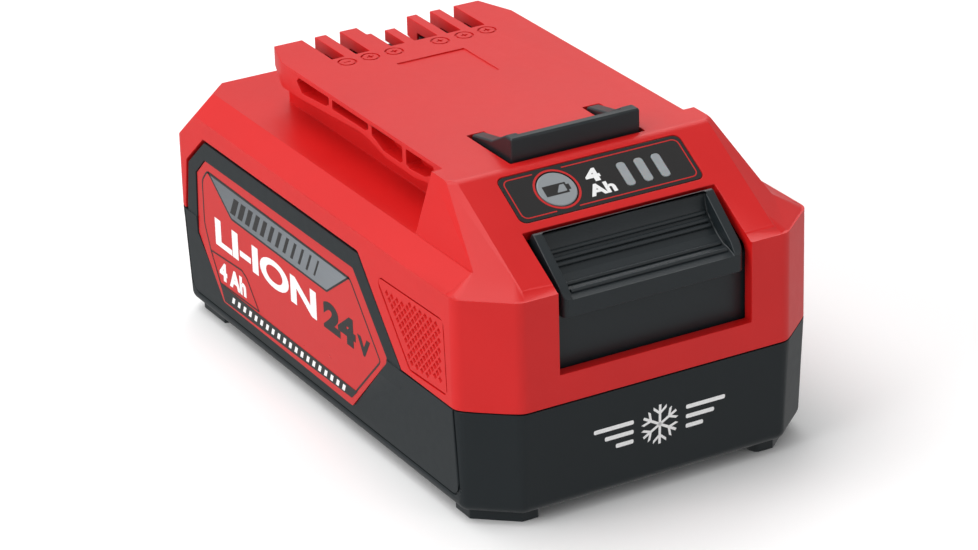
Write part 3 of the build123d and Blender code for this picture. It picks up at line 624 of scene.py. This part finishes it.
def join(pieces, name):
    """Join pieces into the first one and name it."""
    only(pieces[0])
    for piece in pieces[1:]:
        piece.select_set(True)
    bpy.ops.object.join()
    pieces[0].name = name
    pieces[0].data.name = name
    return pieces[0]


def dress(obj, finish, body):
    """Give a piece its finish and the body it rides on."""
    obj.data.materials.clear()
    obj.data.materials.append(finish_named(finish))
    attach(obj, body)
    return obj


def surface_matrix(origin, right, up):
    """Matrix whose X is right, Y is up and Z is the outward normal."""
    right, up = Vector(right).normalized(), Vector(up).normalized()
    normal = right.cross(up)
    matrix = Matrix((right, up, normal)).transposed().to_4x4()
    matrix.translation = Vector(origin)
    return matrix


def side_surface(side, x):
    """Vertical surface on one side of the pack, at this distance from its middle."""
    return surface_matrix((side * x, 0, 0), (0, side, 0), (0, 0, 1))


def side_point(side, depth, height):
    """Point of a side surface that lies this deep behind the front face."""
    return (side * (FRONT + depth * MM), height * MM)


def bezel_surface():
    """Top surface of the gauge film; Y runs up the slope from its rear edge."""
    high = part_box("gauge_label")[1]
    rear_edge = high.y - FILM_THICKNESS * MM * sin(BEZEL_ANGLE)
    return surface_matrix(
        (0, rear_edge, high.z), (1, 0, 0), (0, cos(BEZEL_ANGLE), sin(BEZEL_ANGLE))
    )


def bezel_point(x, down):
    """Point of the bezel surface, from its distance down from the ridge."""
    return (x * MM, (FILM_FROM_RIDGE - down) * MM)


def front_surface():
    """Front face of the lower casing, which leans back a little towards the floor."""
    lean = (0, -CASE_DRAFT, SPLIT_Z - FOOT_Z)
    return surface_matrix((0, FRONT, SPLIT_Z * MM), (1, 0, 0), lean)


def plate(outline, level=0, corner=0.0, ring=0.0, gaps=()):
    """Thin flat piece with this outline, or a ring inside it, on a layer of its own."""
    ink_layer = bpy.context.scene.pack_prints.thickness
    bpy.ops.object.select_all(action="DESELECT")
    bpy.ops.mesh.primitive_circle_add(vertices=len(outline), radius=MM, fill_type="NGON")
    obj = bpy.context.object
    for vertex, point in zip(obj.data.vertices, outline):
        vertex.co = (*point, level * ink_layer)
    mesh = editing(obj)
    bpy.ops.mesh.select_all(action="SELECT")
    bpy.ops.mesh.normals_make_consistent(inside=False)
    if corner:
        bpy.ops.mesh.bevel(offset=corner, offset_type="OFFSET", segments=5, affect="VERTICES")
        bpy.ops.mesh.select_all(action="SELECT")
    if ring:
        bpy.ops.mesh.select_mode(type="FACE")
        bpy.ops.mesh.inset(thickness=ring)
        bpy.ops.mesh.delete(type="FACE")
    for low, high, upper in gaps:
        cut_gap(obj, low, high, upper)
    bpy.ops.mesh.select_mode(type="FACE")
    bpy.ops.mesh.select_all(action="SELECT")
    bpy.ops.mesh.extrude_region_move(TRANSFORM_OT_translate={"value": (0, 0, ink_layer)})
    bpy.ops.mesh.select_all(action="SELECT")
    bpy.ops.mesh.normals_make_consistent(inside=False)
    return done_editing(obj)


def cut_gap(obj, low, high, upper):
    """Open a gap in a flat ring between two places, in its upper or lower half."""
    for x in (low, high):
        bpy.ops.mesh.select_all(action="SELECT")
        bpy.ops.mesh.bisect(plane_co=(x, 0, 0), plane_no=(1, 0, 0))
    mesh = bmesh.from_edit_mesh(obj.data)
    centre = sum(v.co.y for v in mesh.verts) / len(mesh.verts)
    bpy.ops.mesh.select_mode(type="FACE")
    bpy.ops.mesh.select_all(action="DESELECT")
    choose(obj, mesh, mesh.faces, lambda c, f: low < c.x < high and (c.y > centre) == upper)
    bpy.ops.mesh.delete(type="FACE")


def lettering(body, box, weight):
    """Plain block lettering stretched to fill a box: low x, low y, high x, high y."""
    ink_layer = bpy.context.scene.pack_prints.thickness
    bpy.ops.object.select_all(action="DESELECT")
    bpy.ops.object.text_add()
    obj = bpy.context.object
    obj.data.body = body
    obj.data.offset = weight
    obj.data.resolution_u = 6
    obj.data.extrude = 0.5
    bpy.ops.object.convert(target="MESH")
    obj = bpy.context.object
    low = Vector(min(v.co[i] for v in obj.data.vertices) for i in range(3))
    high = Vector(max(v.co[i] for v in obj.data.vertices) for i in range(3))
    wide = (box[2] - box[0]) / (high.x - low.x)
    tall = (box[3] - box[1]) / (high.y - low.y)
    thick = ink_layer / (high.z - low.z)
    for vertex in obj.data.vertices:
        x, y, z = vertex.co - low
        vertex.co = (box[0] + x * wide, box[1] + y * tall, z * thick)
    editing(obj)
    bpy.ops.mesh.select_all(action="SELECT")
    bpy.ops.mesh.remove_doubles(threshold=MERGE)
    bpy.ops.mesh.normals_make_consistent(inside=False)
    return done_editing(obj)


def circle_points(centre, radius, count=64):
    """Points evenly round a circle."""
    return [
        (centre[0] + radius * cos(tau * k / count), centre[1] + radius * sin(tau * k / count))
        for k in range(count)
    ]


def shell_copy(node, name):
    """A merged copy of a CAD node's mesh, to be finished as the shell that shows.

    A seam down the middle keeps any flat face from closing round another one.
    """
    mesh = NODES[node].data.copy()
    mesh.name = name
    obj = bpy.data.objects.new(name, mesh)
    bpy.context.scene.collection.objects.link(obj)
    editing(obj, "EDGE")
    bpy.ops.mesh.select_all(action="SELECT")
    bpy.ops.mesh.remove_doubles(threshold=MERGE)
    bpy.ops.mesh.bisect(plane_co=(0, 0, 0), plane_no=(1, 0, 0))
    bpy.ops.mesh.mark_seam()
    bpy.ops.mesh.select_all(action="SELECT")
    bpy.ops.mesh.dissolve_limited(angle_limit=FLAT_ANGLE, delimit={"SEAM"})
    return done_editing(obj)


def soften(obj, width, segments=2, shown=None):
    """Round every sharp edge that shows and whose faces are wide enough to take it."""

    def sharp(middle, edge):
        if len(edge.link_faces) != 2 or edge.calc_face_angle(0) < SHARP_ANGLE:
            return False
        if shown and not shown(middle):
            return False
        least = FACE_SHARE * width * edge.calc_length()
        return all(face.calc_area() > least for face in edge.link_faces)

    round_edges(obj, width, segments, sharp, clamp=False)


def round_edges(obj, radius, segments, rule, clamp=True):
    """Round the edges that a rule picks."""
    mesh = editing(obj, "EDGE")
    mesh.normal_update()
    choose(obj, mesh, mesh.edges, rule)
    bpy.ops.mesh.bevel(
        offset=radius, segments=segments, affect="EDGES", clamp_overlap=clamp, miter_outer="ARC"
    )
    done_editing(obj)


def shell_piece(node, name, width, slot, body, segments=2):
    """Softened copy of a CAD node, shown in the node's place."""
    obj = shell_copy(node, name)
    soften(obj, width, segments)
    shade(obj)
    dress(obj, slot, body)
    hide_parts(node)


# ---------------------------------------------------------------- operators
class PACK_OT_finishes(bpy.types.Operator):
    """Make every finish and give each CAD node the one its slot asks for"""

    bl_idname = "pack.finishes"
    bl_label = "Finishes"

    def execute(self, context):
        make_finishes(context.scene.pack_shell, context.scene.pack_prints)
        for row in frame["record"]["subparts"]:
            materials = NODES[row["node"]].data.materials
            materials.clear()
            materials.append(finish_named(row["material_slot"]))
        return {"FINISHED"}


class PACK_OT_casings(bpy.types.Operator):
    """Finish the red upper casing and the charcoal lower casing with moulded edges"""

    bl_idname = "pack.casings"
    bl_label = "Casings"

    def execute(self, context):
        shell = context.scene.pack_shell
        upper = shell_copy("upper_casing", "upper_shell")
        for zone in ("ridge", "tower", "shoulder", "rear_rim", "front_rim"):
            for side in SIDES.values():
                rule = self.form_edge_rule(zone, side)
                round_edges(upper, shell.form_edge, 4, rule)
        lower = shell_copy("lower_casing", "lower_shell")
        for obj, node, slot in (
            (upper, "upper_casing", "red_casing"),
            (lower, "lower_casing", "charcoal_casing"),
        ):
            soften(obj, shell.fine_edge, shown=self.outside)
            shade(obj)
            dress(obj, slot, "casing")
            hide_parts(node)
        return {"FINISHED"}

    @staticmethod
    def outside(middle):
        """Whether a place is on the outer walls, the neck or the button's pocket."""
        x, depth, z = abs(middle.x) / MM, (middle.y - FRONT) / MM, middle.z / MM
        walls = x > HALF_WIDTH - 2.2 or not 2.2 < depth < LENGTH - 2.2 or z < FOOT_Z + 2.0
        pocket = x < 29.0 and z > 30.0 and 2.6 < depth < 30.0
        return walls or pocket or z > SHOULDER_Z

    @staticmethod
    def form_edge_rule(zone, side):
        """Rule for the soft outer edges of one zone on one side of the upper casing."""

        def rule(middle, edge):
            if len(edge.link_faces) != 2 or not edge.is_convex:
                return False
            if edge.calc_face_angle(0) < radians(11):
                return False
            x, depth, z = middle.x * side / MM, (middle.y - FRONT) / MM, middle.z / MM
            rim = SHOULDER_Z - 0.3 < z < DECK_Z + 0.2
            return x > -0.01 and {
                "shoulder": rim and x > HALF_WIDTH - 10.5 and 35 < depth < 116,
                "rear_rim": rim and depth > 116,
                "front_rim": rim and depth < 30,
                "tower": depth < TOWER_REAR - 1.5 and z > DECK_Z and x > RAIL_HALF - 0.2,
                "ridge": 25.5 < depth < 27 and z > TOP_Z - 0.1,
            }[zone]

        return rule


class PACK_OT_latch(bpy.types.Operator):
    """Finish the release button and the latch bar"""

    bl_idname = "pack.latch"
    bl_label = "Latch"

    def execute(self, context):
        for node, name, width in (
            ("release_button", "button_shell", 0.22 * MM),
            ("latch_frame", "latch_bar", 0.45 * MM),
        ):
            shell_piece(node, name, width, "charcoal_latch", "latch", segments=3)
        for name in SIDES:
            self.coil(f"latch_spring_{name}", f"latch_coil_{name}")
        return {"FINISHED"}

    @staticmethod
    def coil(node, name):
        """A finished copy of a latch spring, which rides on the casing."""
        obj = shell_copy(node, name)
        shade(obj)
        dress(obj, "spring_steel", "casing")
        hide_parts(node)
        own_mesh(obj)


class PACK_OT_gauge(bpy.types.Operator):
    """Print the charge gauge: outline, ring, rating and the button's battery sign"""

    bl_idname = "pack.gauge"
    bl_label = "Charge Gauge"

    BUTTON = (-9.8, 7.15)
    RIM_INSET, RIM_CORNER, RIM_LINE = 0.75, 1.4, 0.26
    RIM_GAPS = ((-13.0, -6.5, True), (-12.4, -7.3, False))
    RING_RADIUS, RING_LINE = 4.85, 0.45
    CAP_RISE = 0.2 * FILM_THICKNESS
    SIGN = (
        (-12.7, 8.5),
        (-12.7, 6.0),
        (-7.6, 6.0),
        (-7.6, 6.6),
        (-7.0, 6.6),
        (-7.0, 7.9),
        (-7.6, 7.9),
        (-7.6, 8.5),
    )
    SIGN_EMPTY = ((-10.2, 8.1), (-9.0, 6.4), (-8.0, 6.4), (-8.0, 8.1))

    def execute(self, context):
        surface = bezel_surface()
        outline = self.rim()
        ring_points = circle_points(bezel_point(*self.BUTTON), self.RING_RADIUS * MM)
        ring = plate(ring_points, ring=self.RING_LINE * MM)
        red = join([settle(outline, surface), settle(ring, surface)], "gauge_red_print")
        dress(red, "red_ink", "casing")

        number = lettering("4", (*bezel_point(-3.0, 7.6), *bezel_point(0.3, 4.4)), 0.05)
        unit = lettering("Ah", (*bezel_point(-3.9, 10.9), *bezel_point(2.0, 8.1)), 0.04)
        white = join([settle(number, surface), settle(unit, surface)], "gauge_white_print")
        dress(white, "white_ink", "casing")

        cap_surface = surface @ Matrix.Translation((0, 0, self.CAP_RISE * MM))
        dark = settle(plate([bezel_point(*point) for point in self.SIGN]), cap_surface)
        dark.name = "battery_sign"
        dress(dark, "black_ink", "check_button")
        empty = [bezel_point(*point) for point in self.SIGN_EMPTY]
        light = settle(plate(empty, level=1, corner=0.2 * MM), cap_surface)
        light.name = "battery_sign_empty"
        dress(light, "grey_rubber", "check_button")
        self.soften_gauge()
        return {"FINISHED"}

    def rim(self):
        """Thin outline inside the film's edge, broken above and below the button."""
        inset = self.RIM_INSET * MM
        low, high = -FILM_DOWN * MM + inset, -inset
        half = FILM_HALF * MM - inset
        corners = [(-half, low), (half, low), (half, high), (-half, high)]
        gaps = [(start * MM, end * MM, upper) for start, end, upper in self.RIM_GAPS]
        return plate(corners, corner=self.RIM_CORNER * MM, ring=self.RIM_LINE * MM, gaps=gaps)

    @staticmethod
    def soften_gauge():
        """Shells of the film, the button and the light pipe, with eased edges."""
        for node, name, width, slot, body in (
            ("gauge_label", "gauge_window", 0.06 * MM, "gauge_film", "casing"),
            ("gauge_light_pipe", "gauge_bars", 0.15 * MM, "light_pipe", "casing"),
            ("gauge_button", "gauge_key", 0.05 * MM, "grey_rubber", "check_button"),
        ):
            shell_piece(node, name, width, slot, body)


class PACK_OT_side_labels(bpy.types.Operator):
    """Print both side labels: outline, silver band, rating cell and plain lettering"""

    bl_idname = "pack.side_labels"
    bl_label = "Side Labels"

    BORDER = (
        (114.3, 36.9),
        (50.7, 36.3),
        (38.8, 22.5),
        (52.0, 9.4),
        (109.0, 8.6),
        (114.9, 18.6),
        (117.2, 23.9),
        (117.1, 33.9),
    )
    BAND = ((114.2, 36.7), (50.7, 36.2), (61.0, 29.2), (103.7, 29.4))
    RATING_CELL = ((114.9, 18.6), (100.0, 19.4), (97.7, 18.4), (92.4, 12.4), (110.8, 12.1))
    FOOT_BAND = ((110.9, 12.1), (49.5, 11.7), (52.0, 9.4), (109.0, 8.6))
    CHEMISTRY = (111.8, 66.0, 20.9, 27.2)
    RATING = (110.8, 98.4, 13.4, 17.6)
    FILM_EDGE = 0.05 * MM
    VOLTAGE = {
        "left": ((63.0, 49.3, 20.9, 27.2), (48.6, 43.2, 21.0, 25.0)),
        "right": ((57.3, 44.9, 20.9, 27.2), (63.2, 58.2, 21.0, 25.0)),
    }

    def execute(self, context):
        line = context.scene.pack_prints.line
        for name, side in SIDES.items():
            self.print_side(name, side, line)
        return {"FINISHED"}

    def outline(self, side, points):
        """The points of an outline on one side's surface."""
        return [side_point(side, depth, height) for depth, height in points]

    def box(self, side, rear, front, low, high):
        """Box for lettering between two depths and two heights."""
        ends = sorted(side * (FRONT + depth * MM) for depth in (rear, front))
        return (ends[0], low * MM, ends[1], high * MM)

    def print_side(self, name, side, line):
        """All the prints of one side, one piece for each ink."""
        surface = side_surface(side, LABEL_FACE)
        border = plate(self.outline(side, self.BORDER), 0, 1.0 * MM, line)
        silver = plate(self.outline(side, self.BAND), 0, 0.3 * MM)
        band_edge = plate(self.outline(side, self.BAND), 1, 0.3 * MM, line)
        cell_edge = plate(self.outline(side, self.RATING_CELL), 1, 0.4 * MM, line * 0.8)
        foot = plate(self.outline(side, self.FOOT_BAND), 1)
        volts_at, unit_at = self.VOLTAGE[name]
        volts = lettering("24", self.box(side, *volts_at), 0.06)
        unit = lettering("V", self.box(side, *unit_at), 0.05)
        chemistry = lettering("LI-ION", self.box(side, *self.CHEMISTRY), 0.035)
        rating = lettering("4 Ah", self.box(side, *self.RATING), 0.05)
        marks = [plate(self.outline(side, bar), 2) for bar in self.foot_marks()]
        hatch = [plate(self.outline(side, bar), 1) for bar in self.band_marks()]
        groups = (
            ("black", [border, band_edge, cell_edge, foot, volts, unit, *hatch], "black_ink"),
            ("white", [chemistry, rating, *marks], "white_ink"),
            ("silver", [silver], "silver_ink"),
        )
        for tint, pieces, finish in groups:
            printed = join([settle(piece, surface) for piece in pieces], f"label_{tint}_{name}")
            dress(printed, finish, "casing")
        shell_piece(
            f"side_label_{name}", f"label_film_{name}", self.FILM_EDGE, "label_film", "casing"
        )

    @staticmethod
    def foot_marks():
        """Row of short slanted bars along the black band."""
        start, pitch, count, lean = 105.5, 2.6, 20, 0.6
        return [
            (
                (start - k * pitch, 9.7),
                (start - k * pitch - 1.1, 9.7),
                (start - k * pitch - 1.1 - lean, 11.1),
                (start - k * pitch - lean, 11.1),
            )
            for k in range(count)
        ]

    @staticmethod
    def band_marks():
        """Row of slanted bars that thin out along the silver band."""
        start, pitch, count, lean = 104.0, 3.4, 12, 2.2
        return [
            (
                (start - k * pitch, 30.9),
                (start - k * pitch - 2.2 + 0.14 * k, 30.9),
                (start - k * pitch - 2.2 + 0.14 * k - lean, 34.9),
                (start - k * pitch - lean, 34.9),
            )
            for k in range(count)
        ]


class PACK_OT_emblem(bpy.types.Operator):
    """Print a plain snowflake between short bars on the lower casing's front"""

    bl_idname = "pack.emblem"
    bl_label = "Front Emblem"

    MIDDLE = (0.7, 14.2)
    BAR_LENGTHS = (9.0, 6.5, 4.0)
    BAR_START, BAR_TALL, BAR_PITCH, BAR_CORNER = 6.0, 0.9, 2.1, 0.3

    def execute(self, context):
        surface = front_surface()
        centre = Vector((self.MIDDLE[0] * MM, (self.MIDDLE[1] - SPLIT_Z) * MM))
        pieces = [self.arm(centre, k * tau / 6) for k in range(6)]
        for side in (-1, 1):
            for row, length in enumerate(self.BAR_LENGTHS):
                pieces.append(self.bar(centre, side, row, length))
        emblem = join([settle(piece, surface) for piece in pieces], "front_emblem")
        dress(emblem, "white_ink", "casing")
        return {"FINISHED"}

    @staticmethod
    def arm(centre, angle):
        """One arm of the snowflake, with a pair of branches."""
        half = 0.28 * MM
        reach, fork, tip = 4.3 * MM, 2.3 * MM, 1.5 * MM
        slope = 0.7
        right = [
            (half, 0.0),
            (half, fork),
            (tip, fork + tip * slope),
            (tip, fork + tip * slope + 2.4 * half),
            (half, fork + 2.4 * half),
            (half, reach),
        ]
        outline = right + [(-x, y) for x, y in reversed(right)]
        turned = [
            (centre.x + x * cos(angle) - y * sin(angle), centre.y + x * sin(angle) + y * cos(angle))
            for x, y in outline
        ]
        return plate(turned)

    def bar(self, centre, side, row, length):
        """One of the bars beside the snowflake, shorter towards the floor."""
        half = self.BAR_TALL * MM / 2
        middle = centre.y + (1 - row) * self.BAR_PITCH * MM
        near = centre.x + side * self.BAR_START * MM
        low, high = sorted((near, near + side * length * MM))
        corners = [
            (low, middle - half),
            (high, middle - half),
            (high, middle + half),
            (low, middle + half),
        ]
        return plate(corners, corner=self.BAR_CORNER * MM)


class PACK_OT_grips(bpy.types.Operator):
    """Model the dimpled grip patch in the recess on each side"""

    bl_idname = "pack.grips"
    bl_label = "Grip Patches"

    RECESS = ((39.6, 41.6), (12.3, 42.2), (11.5, 26.4), (26.4, 25.9))
    RECESS_DEEP = 0.7
    MARGIN = 0.35
    BORDER = 1.7
    THICKNESS = 0.6
    DIMPLE_RIM, DIMPLE_SLOPE = 0.2, 0.24
    DIMPLE_ANGLE = radians(20.0)

    def execute(self, context):
        grip = context.scene.pack_grip
        for name, side in SIDES.items():
            obj = self.patch(side, grip)
            obj.name = f"grip_patch_{name}"
            settle(obj, side_surface(side, (HALF_WIDTH - self.RECESS_DEEP) * MM))
            shade(obj, self.DIMPLE_ANGLE)
            dress(obj, "red_casing", "casing")
        return {"FINISHED"}

    def edges(self, side, margin):
        """Outward edge lines of the recess, moved inwards: a point and a direction each."""
        points = [Vector(side_point(side, *corner)) for corner in self.RECESS]
        centre = sum(points, Vector((0, 0))) / len(points)
        lines = []
        for k, start in enumerate(points):
            along = points[(k + 1) % len(points)] - start
            out = Vector((along.y, -along.x)).normalized()
            if out.dot(centre - start) > 0:
                out = -out
            lines.append((start - out * margin * MM, out))
        return lines

    def patch(self, side, grip):
        """Flat plate of the recess's outline with a lattice of dimples."""
        step = grip.pitch / 2**0.5
        corners = [Vector(side_point(side, *corner)) for corner in self.RECESS]
        centre = sum(corners, Vector((0, 0))) / len(corners)
        top = self.THICKNESS * MM
        bpy.ops.object.select_all(action="DESELECT")
        bpy.ops.mesh.primitive_grid_add(
            x_subdivisions=grip.cells, y_subdivisions=grip.cells, size=grip.cells * step
        )
        obj = bpy.context.object
        turn = Matrix.Rotation(pi / 4, 4, "Z")
        flatten = Matrix.Diagonal((1.0, grip.squash, 1.0, 1.0))
        obj.matrix_world = Matrix.Translation((centre.x, centre.y, top)) @ flatten @ turn
        bpy.ops.object.transform_apply(location=True, rotation=True, scale=True)
        mesh = editing(obj, "FACE")
        inner = self.edges(side, self.BORDER)

        def inside(middle, face):
            flat = Vector((middle.x, middle.y))
            return all((flat - start).dot(out) < 0 for start, out in inner)

        choose(obj, mesh, mesh.faces, inside)
        bpy.ops.mesh.inset(thickness=self.DIMPLE_RIM * MM, use_individual=True)
        slope = self.DIMPLE_SLOPE * MM
        bpy.ops.mesh.inset(thickness=slope, depth=-grip.depth, use_individual=True)
        for start, out in self.edges(side, self.MARGIN):
            bpy.ops.mesh.select_all(action="SELECT")
            bpy.ops.mesh.bisect(
                plane_co=(start.x, start.y, 0), plane_no=(out.x, out.y, 0), clear_outer=True
            )
        self.close_back(obj)
        return done_editing(obj)

    @staticmethod
    def close_back(obj):
        """Draw the open rim down to the recess's floor and close it."""
        bpy.ops.mesh.select_mode(type="EDGE")
        bpy.ops.mesh.select_all(action="DESELECT")
        mesh = bmesh.from_edit_mesh(obj.data)
        choose(obj, mesh, mesh.edges, lambda middle, edge: edge.is_boundary)
        down = (0, 0, -PACK_OT_grips.THICKNESS * MM)
        bpy.ops.mesh.extrude_edges_move(TRANSFORM_OT_translate={"value": down})
        bpy.ops.mesh.edge_face_add()
        bpy.ops.mesh.select_all(action="SELECT")
        bpy.ops.mesh.normals_make_consistent(inside=False)


class PACK_OT_stage(bpy.types.Operator):
    """Set up the pale floor, the soft lights and the camera"""

    bl_idname = "pack.stage"
    bl_label = "Stage"

    def execute(self, context):
        stage = context.scene.pack_stage
        self.lay_floor(stage)
        self.light(context, stage)
        self.camera(context, stage)
        return {"FINISHED"}

    @staticmethod
    def lay_floor(stage):
        """Large disc with a softly mottled matt finish."""
        bpy.ops.object.select_all(action="DESELECT")
        bpy.ops.mesh.primitive_circle_add(vertices=96, radius=6.0, fill_type="NGON")
        floor = bpy.context.object
        floor.name = "floor"
        finish = Finish("floor_paper")
        mottle = finish.noise(0.4, 3.0)
        tone = finish.blend(mottle, opaque(stage.floor, 0.985), opaque(stage.floor, 1.01))
        floor.data.materials.append(finish.shaded(Base_Color=tone, Roughness=0.9))
        floor.visible_glossy = False

    @staticmethod
    def light(context, stage):
        """Large soft lamps over, beside and in front of the pack, and an even sky."""
        aim = Vector((0, 0, 0.03))
        for name, place, size, power in (
            ("key_lamp", (-0.30, 0.35, 1.2), 1.3, stage.key),
            ("side_lamp", (-1.2, -0.05, 0.55), 1.0, stage.side),
            ("front_lamp", (0.5, -1.0, 0.5), 0.7, stage.front),
            ("rim_lamp", (0.55, 0.70, 0.85), 0.6, stage.rim),
        ):
            lamp = bpy.data.lights.new(name, "AREA")
            lamp.shape = "DISK"
            lamp.size = size
            lamp.energy = power
            obj = bpy.data.objects.new(name, lamp)
            context.scene.collection.objects.link(obj)
            obj.location = place
            obj.rotation_euler = (aim - Vector(place)).to_track_quat("-Z", "Y").to_euler()
        context.scene.view_settings.view_transform = "Standard"
        world = bpy.data.worlds.new("studio")
        world.use_nodes = True
        background = world.node_tree.nodes["Background"]
        background.inputs["Color"].default_value = (1.0, 1.0, 1.0, 1.0)
        background.inputs["Strength"].default_value = stage.sky
        context.scene.world = world

    @staticmethod
    def camera(context, stage):
        """Long lens at three quarters, slightly rolled."""
        camera = bpy.data.cameras.new("camera")
        camera.lens = stage.lens
        camera.sensor_width = 36.0
        camera.clip_start, camera.clip_end = 0.05, 50.0
        obj = bpy.data.objects.new("camera", camera)
        context.scene.collection.objects.link(obj)
        eye, aim = Vector(stage.eye), Vector(stage.aim)
        back = (eye - aim).normalized()
        level = Vector((0, 0, 1)).cross(back).normalized()
        upright = back.cross(level)
        right = level * cos(stage.roll) + upright * sin(stage.roll)
        up = upright * cos(stage.roll) - level * sin(stage.roll)
        matrix = Matrix((right, up, back)).transposed().to_4x4()
        matrix.translation = eye
        obj.matrix_world = matrix
        context.scene.camera = obj


class PACK_PT_looks(bpy.types.Panel):
    """Lists the pack's operators in the sidebar"""

    bl_idname = "PACK_PT_looks"
    bl_label = "Battery Pack"
    bl_space_type = "VIEW_3D"
    bl_region_type = "UI"
    bl_category = "Battery Pack"

    def draw(self, context):
        for operator in OPERATORS:
            self.layout.operator(operator.bl_idname)


SETTINGS = {
    "pack_shell": ShellSettings,
    "pack_prints": PrintSettings,
    "pack_grip": GripSettings,
    "pack_stage": StageSettings,
}
OPERATORS = (
    PACK_OT_finishes,
    PACK_OT_casings,
    PACK_OT_latch,
    PACK_OT_gauge,
    PACK_OT_side_labels,
    PACK_OT_emblem,
    PACK_OT_grips,
    PACK_OT_stage,
)


def register():
    """Register the settings, the operators and the panel."""
    for name, settings in SETTINGS.items():
        bpy.utils.register_class(settings)
        setattr(bpy.types.Scene, name, PointerProperty(type=settings))
    for cls in (*OPERATORS, PACK_PT_looks):
        bpy.utils.register_class(cls)


def unregister():
    """Take everything out again."""
    for cls in (PACK_PT_looks, *reversed(OPERATORS)):
        bpy.utils.unregister_class(cls)
    for name, settings in SETTINGS.items():
        delattr(bpy.types.Scene, name)
        bpy.utils.unregister_class(settings)


def main():
    """Run every operator in order."""
    register()
    bpy.ops.pack.finishes()
    bpy.ops.pack.casings()
    bpy.ops.pack.latch()
    bpy.ops.pack.gauge()
    bpy.ops.pack.side_labels()
    bpy.ops.pack.emblem()
    bpy.ops.pack.grips()
    bpy.ops.pack.stage()


if __name__ == "__main__":
    main()
